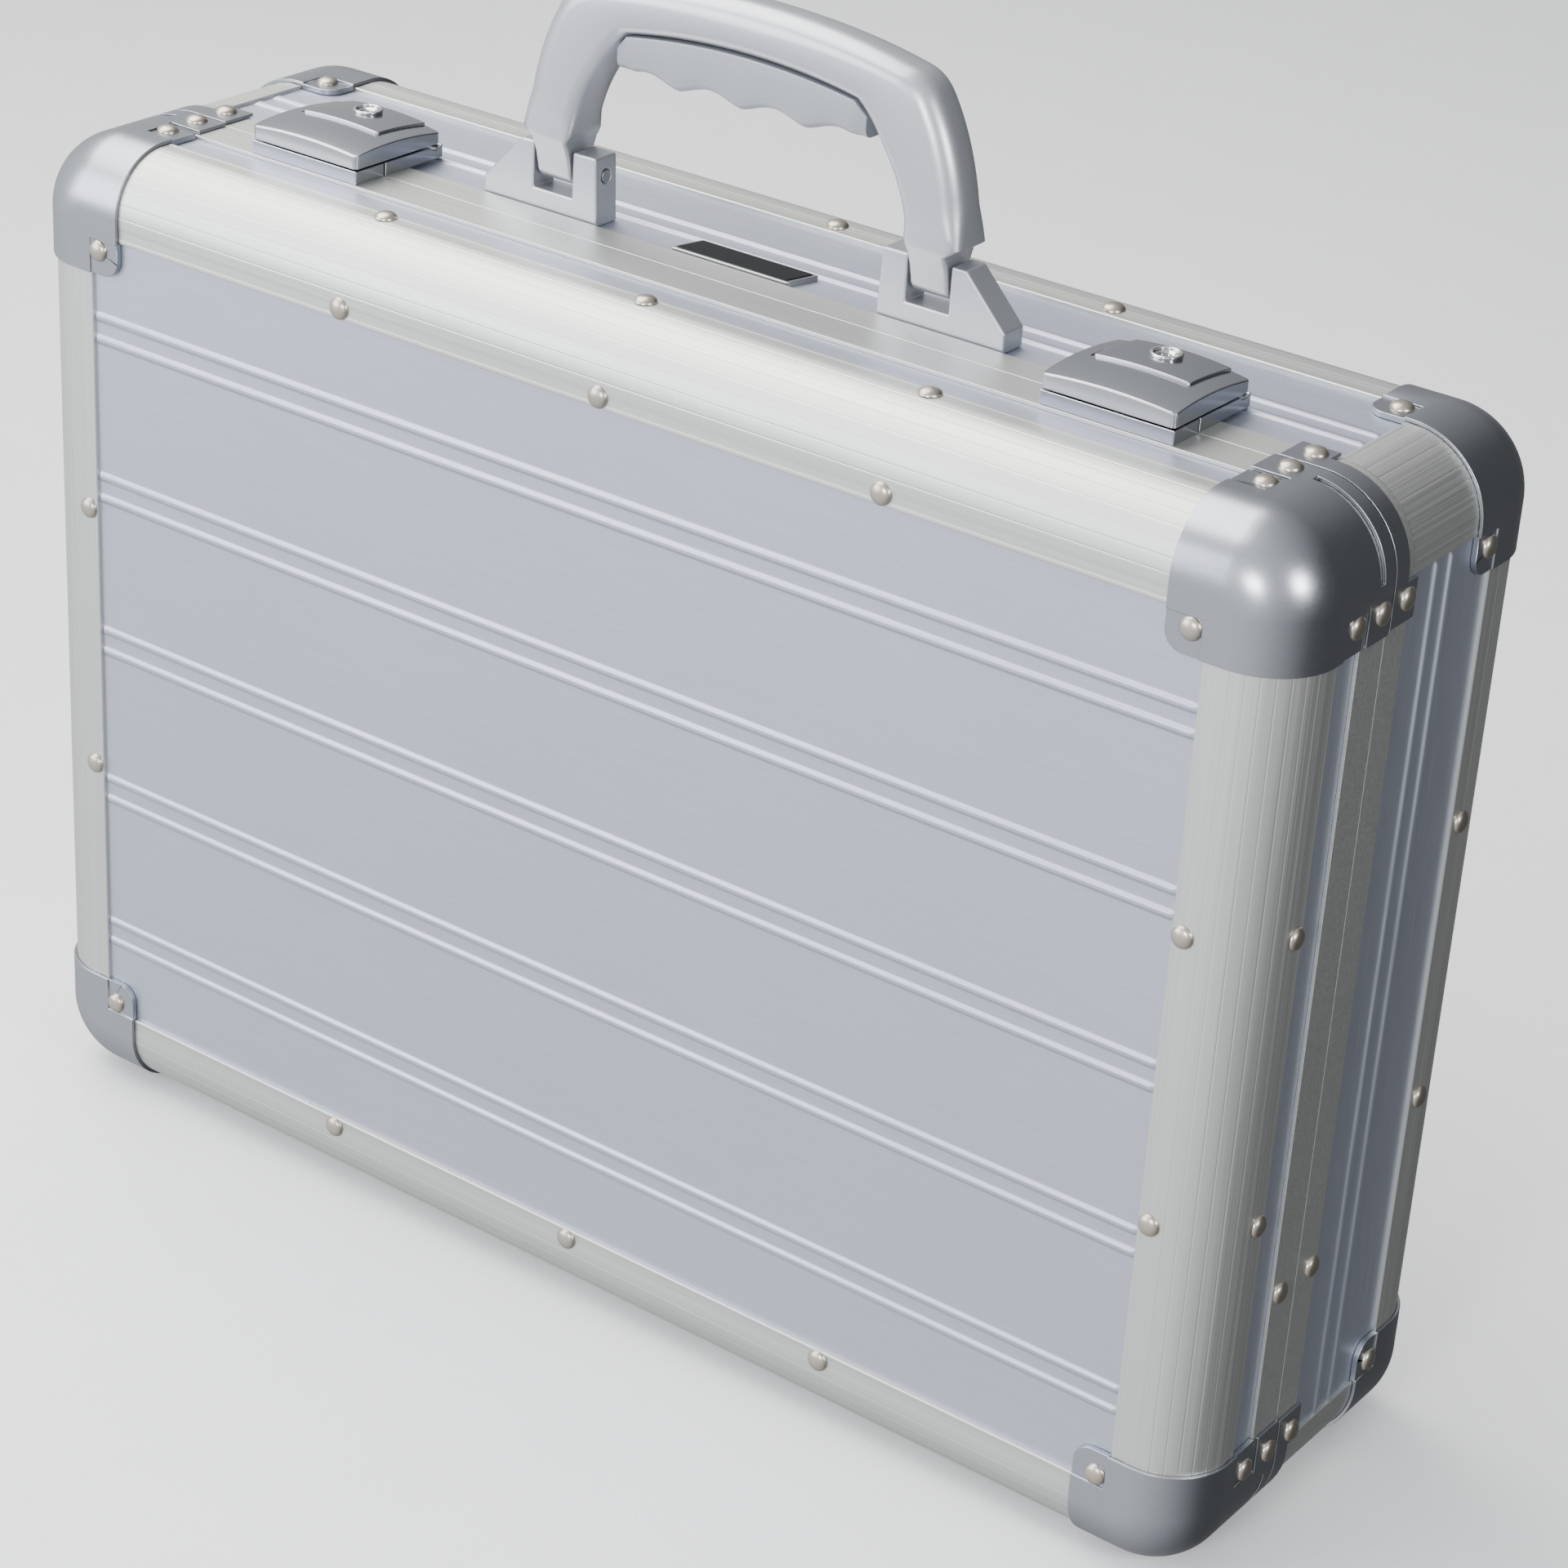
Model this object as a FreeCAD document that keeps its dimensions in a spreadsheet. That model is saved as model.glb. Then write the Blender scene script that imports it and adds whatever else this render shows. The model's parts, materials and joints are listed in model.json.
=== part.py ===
"""Aluminium attache case: two hinged shells, a folding handle, two key latches and two folding stays.

X runs along the width, Y from the lid (front, -Y) to the base (back, +Y) and Z up. The case stands on its
four feet on Z = 0, and the origin is below the middle of its box. Every size is a cell of the sheet Sizes.
"""
import FreeCAD, Part
import math
import os
import Sketcher

Vector, Rotation = FreeCAD.Vector, FreeCAD.Rotation
doc = FreeCAD.newDocument("attache_case")
sheet = doc.addObject("Spreadsheet::Sheet", "Sizes")
sub_parts = {}


class Length:
    """A number together with the spreadsheet formula it comes from."""

    def __init__(self, value, text=None):
        self.value = float(value)
        self.text = text or repr(float(value))

    def joined(self, other, sign, value):
        return Length(value, f"({self.text} {sign} {as_length(other).text})")

    def __add__(self, other):
        return self.joined(other, "+", self.value + as_length(other).value)

    def __sub__(self, other):
        return self.joined(other, "-", self.value - as_length(other).value)

    def __mul__(self, other):
        return self.joined(other, "*", self.value * as_length(other).value)

    def __truediv__(self, other):
        return self.joined(other, "/", self.value / as_length(other).value)

    def __radd__(self, other):
        return as_length(other) + self

    def __rsub__(self, other):
        return as_length(other) - self

    def __rmul__(self, other):
        return as_length(other) * self

    def __neg__(self):
        return as_length(0) - self


def as_length(number):
    return number if isinstance(number, Length) else Length(number)


def size(name, value, note):
    """One named cell of the sheet, with its note beside it."""
    row = size.row = getattr(size, "row", 0) + 1
    sheet.set(f"A{row}", name)
    sheet.set(f"B{row}", str(value))
    sheet.set(f"C{row}", note)
    sheet.setAlias(f"B{row}", name)
    return Length(value, f"Sizes.{name}")


# Overall sizes
width = size("width", 460, "outer planes of the left and right walls")
height = size("height", 332, "outer planes of the top and bottom walls")
lid_depth = size("lid_depth", 48, "front plane to parting plane")
base_depth = size("base_depth", 87, "parting plane to back plane")
stand = size("stand", 3, "floor to the bottom wall's outer plane")
# Wall build-up, from outside to inside
lip = size("lip", 1.2, "wall of every extrusion")
skin = size("skin", 0.8, "aluminium sheet of the panels")
board = size("board", 3, "fibreboard behind the sheet")
cloth = size("cloth", 1.2, "moulded lining")
seam_gap = size("seam_gap", 0.05, "assembly clearance between stacked pieces")
parting_gap = size("parting_gap", 0.15, "each rim to the parting plane")
# Extrusions
edge_radius = size("edge_radius", 20, "rounding of the front and back edges")
corner_radius = size("corner_radius", 24, "rounding of the corners seen from the front")
face_lip = size("face_lip", 27, "reach of the edge extrusion over the face panels")
lid_side_lip = size("lid_side_lip", 23.6, "its reach over the lid's side walls")
base_side_lip = size("base_side_lip", 28, "its reach over the base's side walls")
corner_lip = size("corner_lip", 26, "reach of the base's corner extrusion over the side walls")
end_gap = size("end_gap", 0.2, "clearance at cut ends")
over = size("over", 1, "how far a cutting tool passes the face that it opens")
# Rims
lid_flange = size("lid_flange", 13.5, "outer flange of the lid rim")
base_flange = size("base_flange", 11.8, "outer flange of the base rim")
inner_flange = size("inner_flange", 6, "inner flange of both rims")
inner_wall = size("inner_wall", 1, "wall of the inner flange")
lid_web = size("lid_web", 3.2, "web of the lid rim, which holds the groove")
base_web = size("base_web", 2, "web of the base rim")
tongue_in = size("tongue_in", 3, "outer plane to the tongue")
tongue_wall = size("tongue_wall", 1, "thickness of the tongue")
tongue_rise = size("tongue_rise", 1.5, "tongue past the parting plane")
tongue_play = size("tongue_play", 0.3, "groove clearance round the tongue")
tongue_start = size("tongue_start", 40, "the tongue stops this far above the bottom wall")
# Ribs rolled into the panels
rib_rise = size("rib_rise", 0.9, "height of a rolled rib")
rib_foot = size("rib_foot", 3.4, "width of a rib at its foot")
rib_crown = size("rib_crown", 1.2, "width of a rib at its crown")
rib_space = size("rib_space", 7.5, "distance between the two ribs of a pair")
rib_pitch = size("rib_pitch", 54.2, "distance between pairs on the face panels")
rib_pairs = 5
side_rib_near = size("side_rib_near", 27, "parting plane to the first rib of the base wall")
side_rib_far = size("side_rib_far", 35.5, "parting plane to the second rib of the base wall")
# Corner caps
proud = size("proud", 1.2, "caps stand this far outside the walls")
cap_seat = size("cap_seat", 0.1, "clearance between a cap and what it covers")
cap_reach = size("cap_reach", 39, "reach of a cap from the outer planes")
tab_drop = size("tab_drop", 0.5, "the tabs lie this much lower than the cap")
tab_round = size("tab_round", 6, "rounded tip of a tab")
tab_slit = size("tab_slit", 1.5, "slit between the lid cap's two tabs")
cap_slot = size("cap_slot", 2.5, "curved slot in the lid caps")
cap_slot_place = size("cap_slot_place", 5.7, "parting plane to the slot")
cap_slot_reach = size("cap_slot_reach", 22.5, "outer planes to the slot's ends")
clamp_width = size("clamp_width", 13, "width of a clamp's tabs along Y")
clamp_neck = size("clamp_neck", 7.5, "its width round the corner")
clamp_reach = size("clamp_reach", 38, "outer planes to its tips")
# Rivets
rivet_head = size("rivet_head", 7.1, "diameter of the domed head")
rivet_rise = size("rivet_rise", 1.9, "height of the dome")
rivet_shank = size("rivet_shank", 1.6, "radius of the shank")
rivet_play = size("rivet_play", 0.05, "radial clearance of the rivet holes")
face_rivet_in = size("face_rivet_in", 23.4, "outer planes to the face rows")
lid_rivet_in = size("lid_rivet_in", 20.2, "front plane to the lid's side rows")
base_rivet_in = size("base_rivet_in", 22.5, "back plane to the base's side rows")
row_pitch = size("row_pitch", 99, "rivet pitch along the long walls")
column_pitch = size("column_pitch", 92, "rivet pitch along the short walls")
tab_rivet_in = size("tab_rivet_in", 31, "outer planes to a tab's rivet")
lid_tab_rivet = size("lid_tab_rivet", 17.9, "parting plane to the lid cap's inner tab rivet")
band_rivet = size("band_rivet", 5.2, "parting plane to the lid cap's band rivet")
clamp_rivet = size("clamp_rivet", 8, "parting plane to the clamp's rivet")
# Hinge
axis_drop = size("axis_drop", 0.4, "hinge axis below the bottom wall's outer plane")
knuckle_radius = size("knuckle_radius", 1.7, "outside radius of the hinge knuckles")
hinge_pin_radius = size("hinge_pin_radius", 0.8, "radius of the hinge wire")
pin_play = size("pin_play", 0.06, "radial clearance of every turning pin")
hinge_length = size("hinge_length", 360, "length of the piano hinge")
hinge_knuckles = 9
knuckle_gap = size("knuckle_gap", 0.3, "clearance between knuckles")
leaf = size("leaf", 0.8, "thickness of the hinge leaves")
leaf_width = size("leaf_width", 11, "parting plane to a leaf's edge")
hinge_relief = size("hinge_relief", 2.2, "rims and caps stay this far from the axis below it")
# Feet
lid_foot_radius = size("lid_foot_radius", 4.4, "radius of the lid's feet")
base_foot_radius = size("base_foot_radius", 7, "radius of the base's feet")
foot_spread = size("foot_spread", 135, "centre to a foot along X")
lid_foot_place = size("lid_foot_place", 19, "parting plane to the lid's feet")
base_foot_place = size("base_foot_place", 47, "parting plane to the base's feet")
# Handle and its brackets, heights above the top wall's outer plane
bracket_centre = size("bracket_centre", 73.5, "case centre to the middle of a bracket")
bracket_length = size("bracket_length", 44, "length of a bracket along X")
bracket_depth = size("bracket_depth", 10, "bracket along Y")
bracket_place = size("bracket_place", 12.6, "parting plane to a bracket")
ear_rise = size("ear_rise", 20, "top of the ears")
ear_top = size("ear_top", 5, "flat top of the outer ear")
toe_rise = size("toe_rise", 5, "height of the bracket's outer toe")
slot_floor = size("slot_floor", 5.7, "floor of the handle slot")
slot_width = size("slot_width", 15, "width of the handle slot")
inner_ear = size("inner_ear", 9.7, "width of the inner ear")
tongue_gap = size("tongue_gap", 1, "handle tongue to each ear and to the slot's floor")
tongue_chamfer = size("tongue_chamfer", 3, "chamfer at the tongue's end")
ear_gap = size("ear_gap", 2.5, "top of the ears to the handle's shoulders")
pin_recess = size("pin_recess", 0.5, "a pin's ends lie this far inside its piece")
ear_lean = size("ear_lean", 1, "lean of the inner ear towards its top")
handle_pin_rise = size("handle_pin_rise", 13.7, "height of the handle pins")
handle_pin_radius = size("handle_pin_radius", 2, "radius of the handle pins")
handle_depth = size("handle_depth", 17, "handle along Y")
handle_rise = size("handle_rise", 79, "top of the handle at its middle")
handle_shoulder_rise = size("handle_shoulder_rise", 71.5, "top of the handle at its shoulders")
handle_shoulder = size("handle_shoulder", 63.5, "centre to the shoulders")
handle_foot = size("handle_foot", 79.5, "centre to the outside of the legs at their foot")
handle_inside = size("handle_inside", 60.5, "centre to the inside of the legs at their foot")
leg_rise = size("leg_rise", 25.5, "foot of the legs")
leg_bow = size("leg_bow", 110, "radius of the legs' outer curve")
grip_half = size("grip_half", 41, "centre to the upper ends of the grip insert")
grip_end = size("grip_end", 50.5, "centre to its lower ends")
grip_top = size("grip_top", 61, "top of the insert at its ends")
grip_crown = size("grip_crown", 64, "top of the insert at its middle")
grip_low = size("grip_low", 49.5, "underside of the insert at its ends")
grip_gap = size("grip_gap", 0.3, "line between insert and handle shell")
grip_inset = size("grip_inset", 1, "the insert lies this much inside the handle's front and back")
grip_flat = size("grip_flat", 2, "flat end beyond the last finger hollow")
fingers = 4
finger_pitch = size("finger_pitch", 23, "pitch of the finger hollows")
finger_hollow = size("finger_hollow", 2.4, "depth of a finger hollow")
finger_point = size("finger_point", 47.6, "height of the points between the fingers")
# Name plate
plate_length = size("plate_length", 46, "name plate along X")
plate_width = size("plate_width", 11.6, "name plate along Y")
plate_thick = size("plate_thick", 1.4, "thickness of the name plate")
plate_slant = size("plate_slant", 3, "slant of the name plate's ends")
# Latches, heights above the top wall's outer plane
latch_centre = size("latch_centre", 146, "case centre to a latch")
latch_half = size("latch_half", 21.5, "half the width of a latch")
latch_front = size("latch_front", 13.1, "parting plane to a latch's front")
latch_back = size("latch_back", 26.7, "parting plane to a latch's back")
plate_rise = size("plate_rise", 4.3, "top of the strike and base plates")
lever_gap = size("lever_gap", 0.3, "clearance under and behind the lever")
lever_side = size("lever_side", 9.5, "top of the lever at its sides")
lever_crown = size("lever_crown", 11.5, "top of the lever at its middle")
latch_pin_place = size("latch_pin_place", 23.5, "parting plane to the latch pin")
latch_pin_rise = size("latch_pin_rise", 6.5, "height of the latch pin")
latch_pin_radius = size("latch_pin_radius", 1.1, "radius of the latch pin")
latch_pin_end = size("latch_pin_end", 0.5, "side of the lever to the end of its pin")
barrel_radius = size("barrel_radius", 2.9, "rounded back of the lever")
lug_inside = size("lug_inside", 11, "latch centre to the inside of its lugs")
lug_width = size("lug_width", 3, "width of a lug")
lug_radius = size("lug_radius", 2.3, "rounded top of the lugs")
lug_gap = size("lug_gap", 0.4, "clearance between the lugs and the lever")
relief_radius = size("relief_radius", 3.3, "hollow under the turning back of the lever")
key_half = size("key_half", 15.4, "half the width of the key plate")
key_front = size("key_front", 3.2, "parting plane to the key plate")
key_back = size("key_back", 27.1, "parting plane to its back")
key_floor = size("key_floor", 10.2, "underside of the key plate")
key_top = size("key_top", 12.3, "top of the key plate")
lock_place = size("lock_place", 16, "parting plane to the key cylinder")
lock_radius = size("lock_radius", 3.6, "radius of the key cylinder")
lock_foot = size("lock_foot", 5, "lower end of the key cylinder")
lock_top = size("lock_top", 12.6, "upper end of the key cylinder")
keyway = size("keyway", 1, "width of the keyway")
keyway_half = size("keyway_half", 2.2, "half the length of the keyway")
keyway_deep = size("keyway_deep", 3, "depth of the keyway")
key_play = size("key_play", 0.2, "clearance between the key plate and its seat")
hook_half = size("hook_half", 6, "half the width of the hook")
hook_front = size("hook_front", 9, "parting plane to the hook's front")
hook_back = size("hook_back", 4, "parting plane to the hook's back")
hook_foot = size("hook_foot", 1.8, "lower end of the hook")
notch_side = size("notch_side", 1.5, "clearance beside the hook")
notch_front = size("notch_front", 11, "parting plane to the notch's front")
notch_floor = size("notch_floor", 1, "floor of the notch")
# Folding stays
stay_rivet_out = size("stay_rivet_out", 9, "parting plane to a stay's wall rivet")
stay_rivet_rise = size("stay_rivet_rise", 88, "bottom wall's outer plane to that rivet")
stay_bar = size("stay_bar", 1.5, "thickness of a stay bar")
stay_half = size("stay_half", 4.5, "half the width of a stay bar")
stay_gap = size("stay_gap", 0.3, "clearance between the layers of a stay")
stay_pivot = size("stay_pivot", 2, "radius of the stay pivots")
# Document pocket
pocket_half = size("pocket_half", 170, "half the width of the document pocket")
pocket_low = size("pocket_low", 40, "bottom wall's outer plane to its lower edge")
pocket_high = size("pocket_high", 240, "bottom wall's outer plane to its upper edge")
pocket_thick = size("pocket_thick", 4, "thickness of the pocket")
doc.recompute()

parting = (lid_depth - base_depth) / 2
top = stand + height
lining_in = lip + skin + board
wall_in = lining_in + cloth
opening_in = wall_in + inner_wall
X, Y, Z = (1, 0, 0), (0, 1, 0), (0, 0, 1)


def opposite(axis):
    return tuple(-part for part in axis)


def cross(a, b):
    return (a[1] * b[2] - a[2] * b[1], a[2] * b[0] - a[0] * b[2], a[0] * b[1] - a[1] * b[0])


class Frame:
    """An origin and three right-handed axes u, v and w, each along a main axis."""

    def __init__(self, origin, v, w):
        self.origin = [as_length(part) for part in origin]
        self.axes = (cross(v, w), v, w)

    def point(self, *local):
        """The formulas of a local point's X, Y and Z."""
        place = list(self.origin)
        for part, axis in zip(local, self.axes):
            for i in range(3):
                if axis[i]:
                    place[i] = place[i] + part if axis[i] > 0 else place[i] - part
        return place

    def rotation(self):
        u, v, w = self.axes
        return Rotation(FreeCAD.Matrix(u[0], v[0], w[0], 0, u[1], v[1], w[1], 0, u[2], v[2], w[2], 0))


WORLD = Frame((0, 0, 0), Y, Z)
DECK = Frame((0, parting, top), Y, Z)
ALONG_Y = Frame((0, parting, top), Z, X)
FACING = {"lid": (parting - lid_depth, Y), "base": (parting + base_depth, opposite(Y))}
DEPTH = {"lid": lid_depth, "base": base_depth}
FLANGE = {"lid": lid_flange, "base": base_flange}
WEB = {"lid": lid_web, "base": base_web}
SIDE_LIP = {"lid": lid_side_lip, "base": base_side_lip}
middle = stand + height / 2
WALLS = {
    "top": ((0, top), opposite(Z), width),
    "bottom": ((0, stand), Z, width),
    "left": ((-width / 2, middle), X, height),
    "right": ((width / 2, middle), opposite(X), height),
}
CORNERS = [(side, end) for side in ("left", "right") for end in ("top", "bottom")]


def wall_frame(shell, wall):
    """u along the wall, v inwards from the shell's face plane, w inwards from the wall's outer plane."""
    face, inwards = FACING[shell]
    (x, z), w, _ = WALLS[wall]
    return Frame((x, face, z), inwards, w)


def face_frame(shell):
    """u along X, v up from the bottom wall's outer plane, w inwards from the shell's face plane."""
    face, inwards = FACING[shell]
    return Frame((0, face, stand), Z, inwards)


def corner_frame(shell, side, end):
    """All three axes run inwards from a corner's outer planes, and v is along Y."""
    face, v = FACING[shell]
    x, x_in = (-width / 2, X) if side == "left" else (width / 2, opposite(X))
    z, z_in = (stand, Z) if end == "bottom" else (top, opposite(Z))
    w = z_in if cross(v, z_in) == x_in else x_in
    return Frame((x, face, z), v, w)


def bind(thing, **formulas):
    for name, amount in formulas.items():
        thing.setExpression(name, as_length(amount).text)


def put(thing, frame, local, turn=None):
    """Place an object at a local point of a frame, with a further turn of its own."""
    thing.Placement = FreeCAD.Placement(Vector(), frame.rotation() * (turn or Rotation()))
    for axis, amount in zip("xyz", frame.point(*local)):
        thing.setExpression(f"Placement.Base.{axis}", amount.text)
    return thing


def box(name, frame, u, v, w):
    thing = doc.addObject("Part::Box", name)
    spans = [as_length(b) - as_length(a) for a, b in (u, v, w)]
    bind(thing, Length=spans[0], Width=spans[1], Height=spans[2])
    return put(thing, frame, (u[0], v[0], w[0]))


TURNS = {"u": Rotation(Vector(0, 1, 0), 90), "v": Rotation(Vector(1, 0, 0), -90), "w": Rotation()}


def rod(name, frame, start, along, radius, length):
    thing = doc.addObject("Part::Cylinder", name)
    bind(thing, Radius=radius, Height=length)
    return put(thing, frame, start, TURNS[along])


def cut(name, base, *tools):
    thing = doc.addObject("Part::Cut", name)
    thing.Base = base
    thing.Tool = tools[0] if len(tools) == 1 else fuse(name + "_tools", *tools)
    return thing


def fuse(name, *pieces):
    thing = doc.addObject("Part::MultiFuse", name)
    thing.Shapes = list(pieces)
    return thing


def group(name, *pieces):
    thing = doc.addObject("Part::Compound", name)
    thing.Links = list(pieces)
    return thing


def mirrored(name, source):
    thing = doc.addObject("Part::Mirroring", name)
    thing.Source = source
    thing.Normal = Vector(1, 0, 0)
    return thing


def sub_part(label, thing):
    """Register an object as a piece of the case, under its own name."""
    thing.Label = label
    sub_parts[label] = thing
    return thing


def start_sketch(name, plane):
    body = doc.addObject("PartDesign::Body", name)
    sketch = body.newObject("Sketcher::SketchObject", name + "_sketch")
    origin_plane = next(part for part in body.Origin.OriginFeatures if part.Role == plane)
    sketch.AttachmentSupport = [(origin_plane, "")]
    sketch.MapMode = "FlatFace"
    return body, sketch


def outline(sketch, corners, arcs):
    """A closed outline. arcs maps an edge's number to its centre, as a pair, and its radius."""
    count, ends = len(corners), []
    for i in range(count):
        a, b = ([part.value for part in corners[k % count]] for k in (i, i + 1))
        if i in arcs:
            (cx, cy), radius = arcs[i]
            angles = [math.atan2(p[1] - cy.value, p[0] - cx.value) for p in (a, b)]
            ccw = (a[0] - cx.value) * (b[1] - cy.value) > (a[1] - cy.value) * (b[0] - cx.value)
            first, last = angles if ccw else angles[::-1]
            circle = Part.Circle(Vector(cx.value, cy.value, 0), Vector(0, 0, 1), radius.value)
            sketch.addGeometry(Part.ArcOfCircle(circle, first, last), False)
            ends.append((1, 2) if ccw else (2, 1))
        else:
            sketch.addGeometry(Part.LineSegment(Vector(*a, 0), Vector(*b, 0)), False)
            ends.append((1, 2))
    for i in range(count):
        after = (i + 1) % count
        sketch.addConstraint(Sketcher.Constraint("Coincident", i, ends[i][1], after, ends[after][0]))
    for i, corner in enumerate(corners):
        for kind, amount in zip(("DistanceX", "DistanceY"), corner):
            rule = Sketcher.Constraint(kind, -1, 1, i, ends[i][0], amount.value)
            number = sketch.addConstraint(rule)
            sketch.setExpression(f"Constraints[{number}]", amount.text)
    for i, (_, radius) in arcs.items():
        number = sketch.addConstraint(Sketcher.Constraint("Radius", i, radius.value))
        sketch.setExpression(f"Constraints[{number}]", radius.text)


def ring(sketch, centre, radius):
    number = sketch.GeometryCount
    circle = Part.Circle(Vector(centre[0].value, centre[1].value, 0), Vector(0, 0, 1), radius.value)
    sketch.addGeometry(circle, False)
    rules = [("DistanceX", -1, 1, number, 3), ("DistanceY", -1, 1, number, 3), ("Radius", number)]
    for rule, amount in zip(rules, (*centre, radius)):
        rule_number = sketch.addConstraint(Sketcher.Constraint(*rule, amount.value))
        sketch.setExpression(f"Constraints[{rule_number}]", amount.text)


def profile(name, frame, corners, along, arcs=None, holes=()):
    """A section in v and w carried along u between the two ends in along."""
    body, sketch = start_sketch(name, "YZ_Plane")
    outline(sketch, [tuple(map(as_length, corner)) for corner in corners], arcs or {})
    for centre, radius in holes:
        ring(sketch, tuple(map(as_length, centre)), radius)
    pad = body.newObject("PartDesign::Pad", name + "_pad")
    pad.Profile = sketch
    bind(pad, Length=as_length(along[1]) - along[0])
    return put(body, frame, (along[0], 0, 0))


def arc_centre(a, b, radius, side):
    """Centre of an arc of this radius from a to b, to the left (1) or right (-1) of the way, and radius."""
    (ax, ay), (bx, by) = (tuple(map(as_length, point)) for point in (a, b))
    span_x, span_y = bx.value - ax.value, by.value - ay.value
    chord = math.hypot(span_x, span_y)
    reach = side * math.sqrt(max(as_length(radius).value ** 2 - chord * chord / 4, 0)) / chord
    centre = ((ax.value + bx.value) / 2 - span_y * reach, (ay.value + by.value) / 2 + span_x * reach)
    return tuple(map(Length, centre)), as_length(radius)


def bow_radius(half_chord, rise):
    return (half_chord * half_chord + rise * rise) / (2 * rise)


def rounded_block(name, frame, u, v, w, closed, corner=None, front=None, tips=()):
    """A block with rounded edges on its closed sides.

    closed names the sides (u0, u1, w0, w1) that are walls. The edges along v between two walls get the
    radius corner, the edges of the v0 face at the walls get front, and tips rounds the far open edges.
    """
    spans = [as_length(b) - as_length(a) for a, b in (u, v, w)]
    body, sketch = start_sketch(name, "XY_Plane")
    zero = as_length(0)
    lu, lv, lw = spans
    outline(sketch, [(zero, zero), (lu, zero), (lu, lv), (zero, lv)], {})
    last = body.newObject("PartDesign::Pad", name + "_pad")
    last.Profile = sketch
    bind(last, Length=lw)
    doc.recompute()
    sides = {"u0": (0, 0.0), "u1": (0, lu.value), "w0": (2, 0.0), "w1": (2, lw.value), "v1": (1, lv.value)}

    def on(point, side):
        axis, place = sides[side]
        return abs(point[axis] - place) < 0.02

    def rounded(feature, picked, radius, number):
        fillet = body.newObject("PartDesign::Fillet", f"{name}_round{number}")
        fillet.Base = (feature, [f"Edge{k}" for k in picked])
        bind(fillet, Radius=radius)
        doc.recompute()
        return fillet

    def choose(feature, test):
        edges = enumerate(feature.Shape.Edges, 1)
        return [k for k, edge in edges if test(edge.CenterOfMass)]

    if tips:
        pairs, radius = tips
        last = rounded(last, choose(last, lambda p: any(on(p, a) and on(p, b) for a, b in pairs)), radius, 1)
    if corner:
        walls = [(a, b) for a in closed for b in closed if a[0] == "u" and b[0] == "w"]
        last = rounded(last, choose(last, lambda p: any(on(p, a) and on(p, b) for a, b in walls)), corner, 2)
    if front:
        open_sides = [side for side in ("u0", "u1", "w0", "w1") if side not in closed]

        def at_front(p):
            off_open = not any(on(p, side) for side in open_sides)
            near_wall = any(abs(p[sides[s][0]] - sides[s][1]) < corner_reach for s in closed)
            return abs(p[1]) < 0.02 and off_open and near_wall

        corner_reach = (corner.value if corner else 0) * 0.5 + 0.02
        last = rounded(last, choose(last, at_front), front, 3)
    return put(body, frame, (u[0], v[0], w[0]))


ALL_SIDES = ("u0", "u1", "w0", "w1")


def shell_block(name, shell, inset, v0, v1, front=None):
    """The case's rounded outline, inset by a wall, between two depths from the shell's face plane."""
    side = "left" if shell == "lid" else "right"
    frame = corner_frame(shell, side, "bottom")
    spans = (inset, width - inset), (v0, v1), (inset, height - inset)
    return rounded_block(name, frame, *spans, ALL_SIDES, corner=corner_radius - inset, front=front)


# ---- Rivets ---------------------------------------------------------------------------------------
dome_radius = bow_radius(rivet_head / 2, rivet_rise)
rivets = {"lid": [], "base": []}
drills = {"lid": [], "base": []}
stay_holes = {"lid": [], "base": []}


def rivet(shell, frame, u, v, seat, grip):
    """A domed head on the plane w = seat and a shank down to w = grip, and the hole for it."""
    dome = doc.addObject("Part::Sphere", "dome")
    bind(dome, Radius=dome_radius)
    dome.setExpression("Angle1", f"asin(({(dome_radius - rivet_rise).text}) / ({dome_radius.text}))")
    put(dome, frame, (u, v, seat + dome_radius - rivet_rise), Rotation(Vector(1, 0, 0), 180))
    shank = rod("shank", frame, (u, v, seat), "w", rivet_shank, grip - seat)
    rivets[shell].append(fuse("rivet", dome, shank))
    deep = grip - seat + over + end_gap
    hole = rod("rivet_hole", frame, (u, v, seat - over), "w", rivet_shank + rivet_play, deep)
    drills[shell].append(hole)


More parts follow.
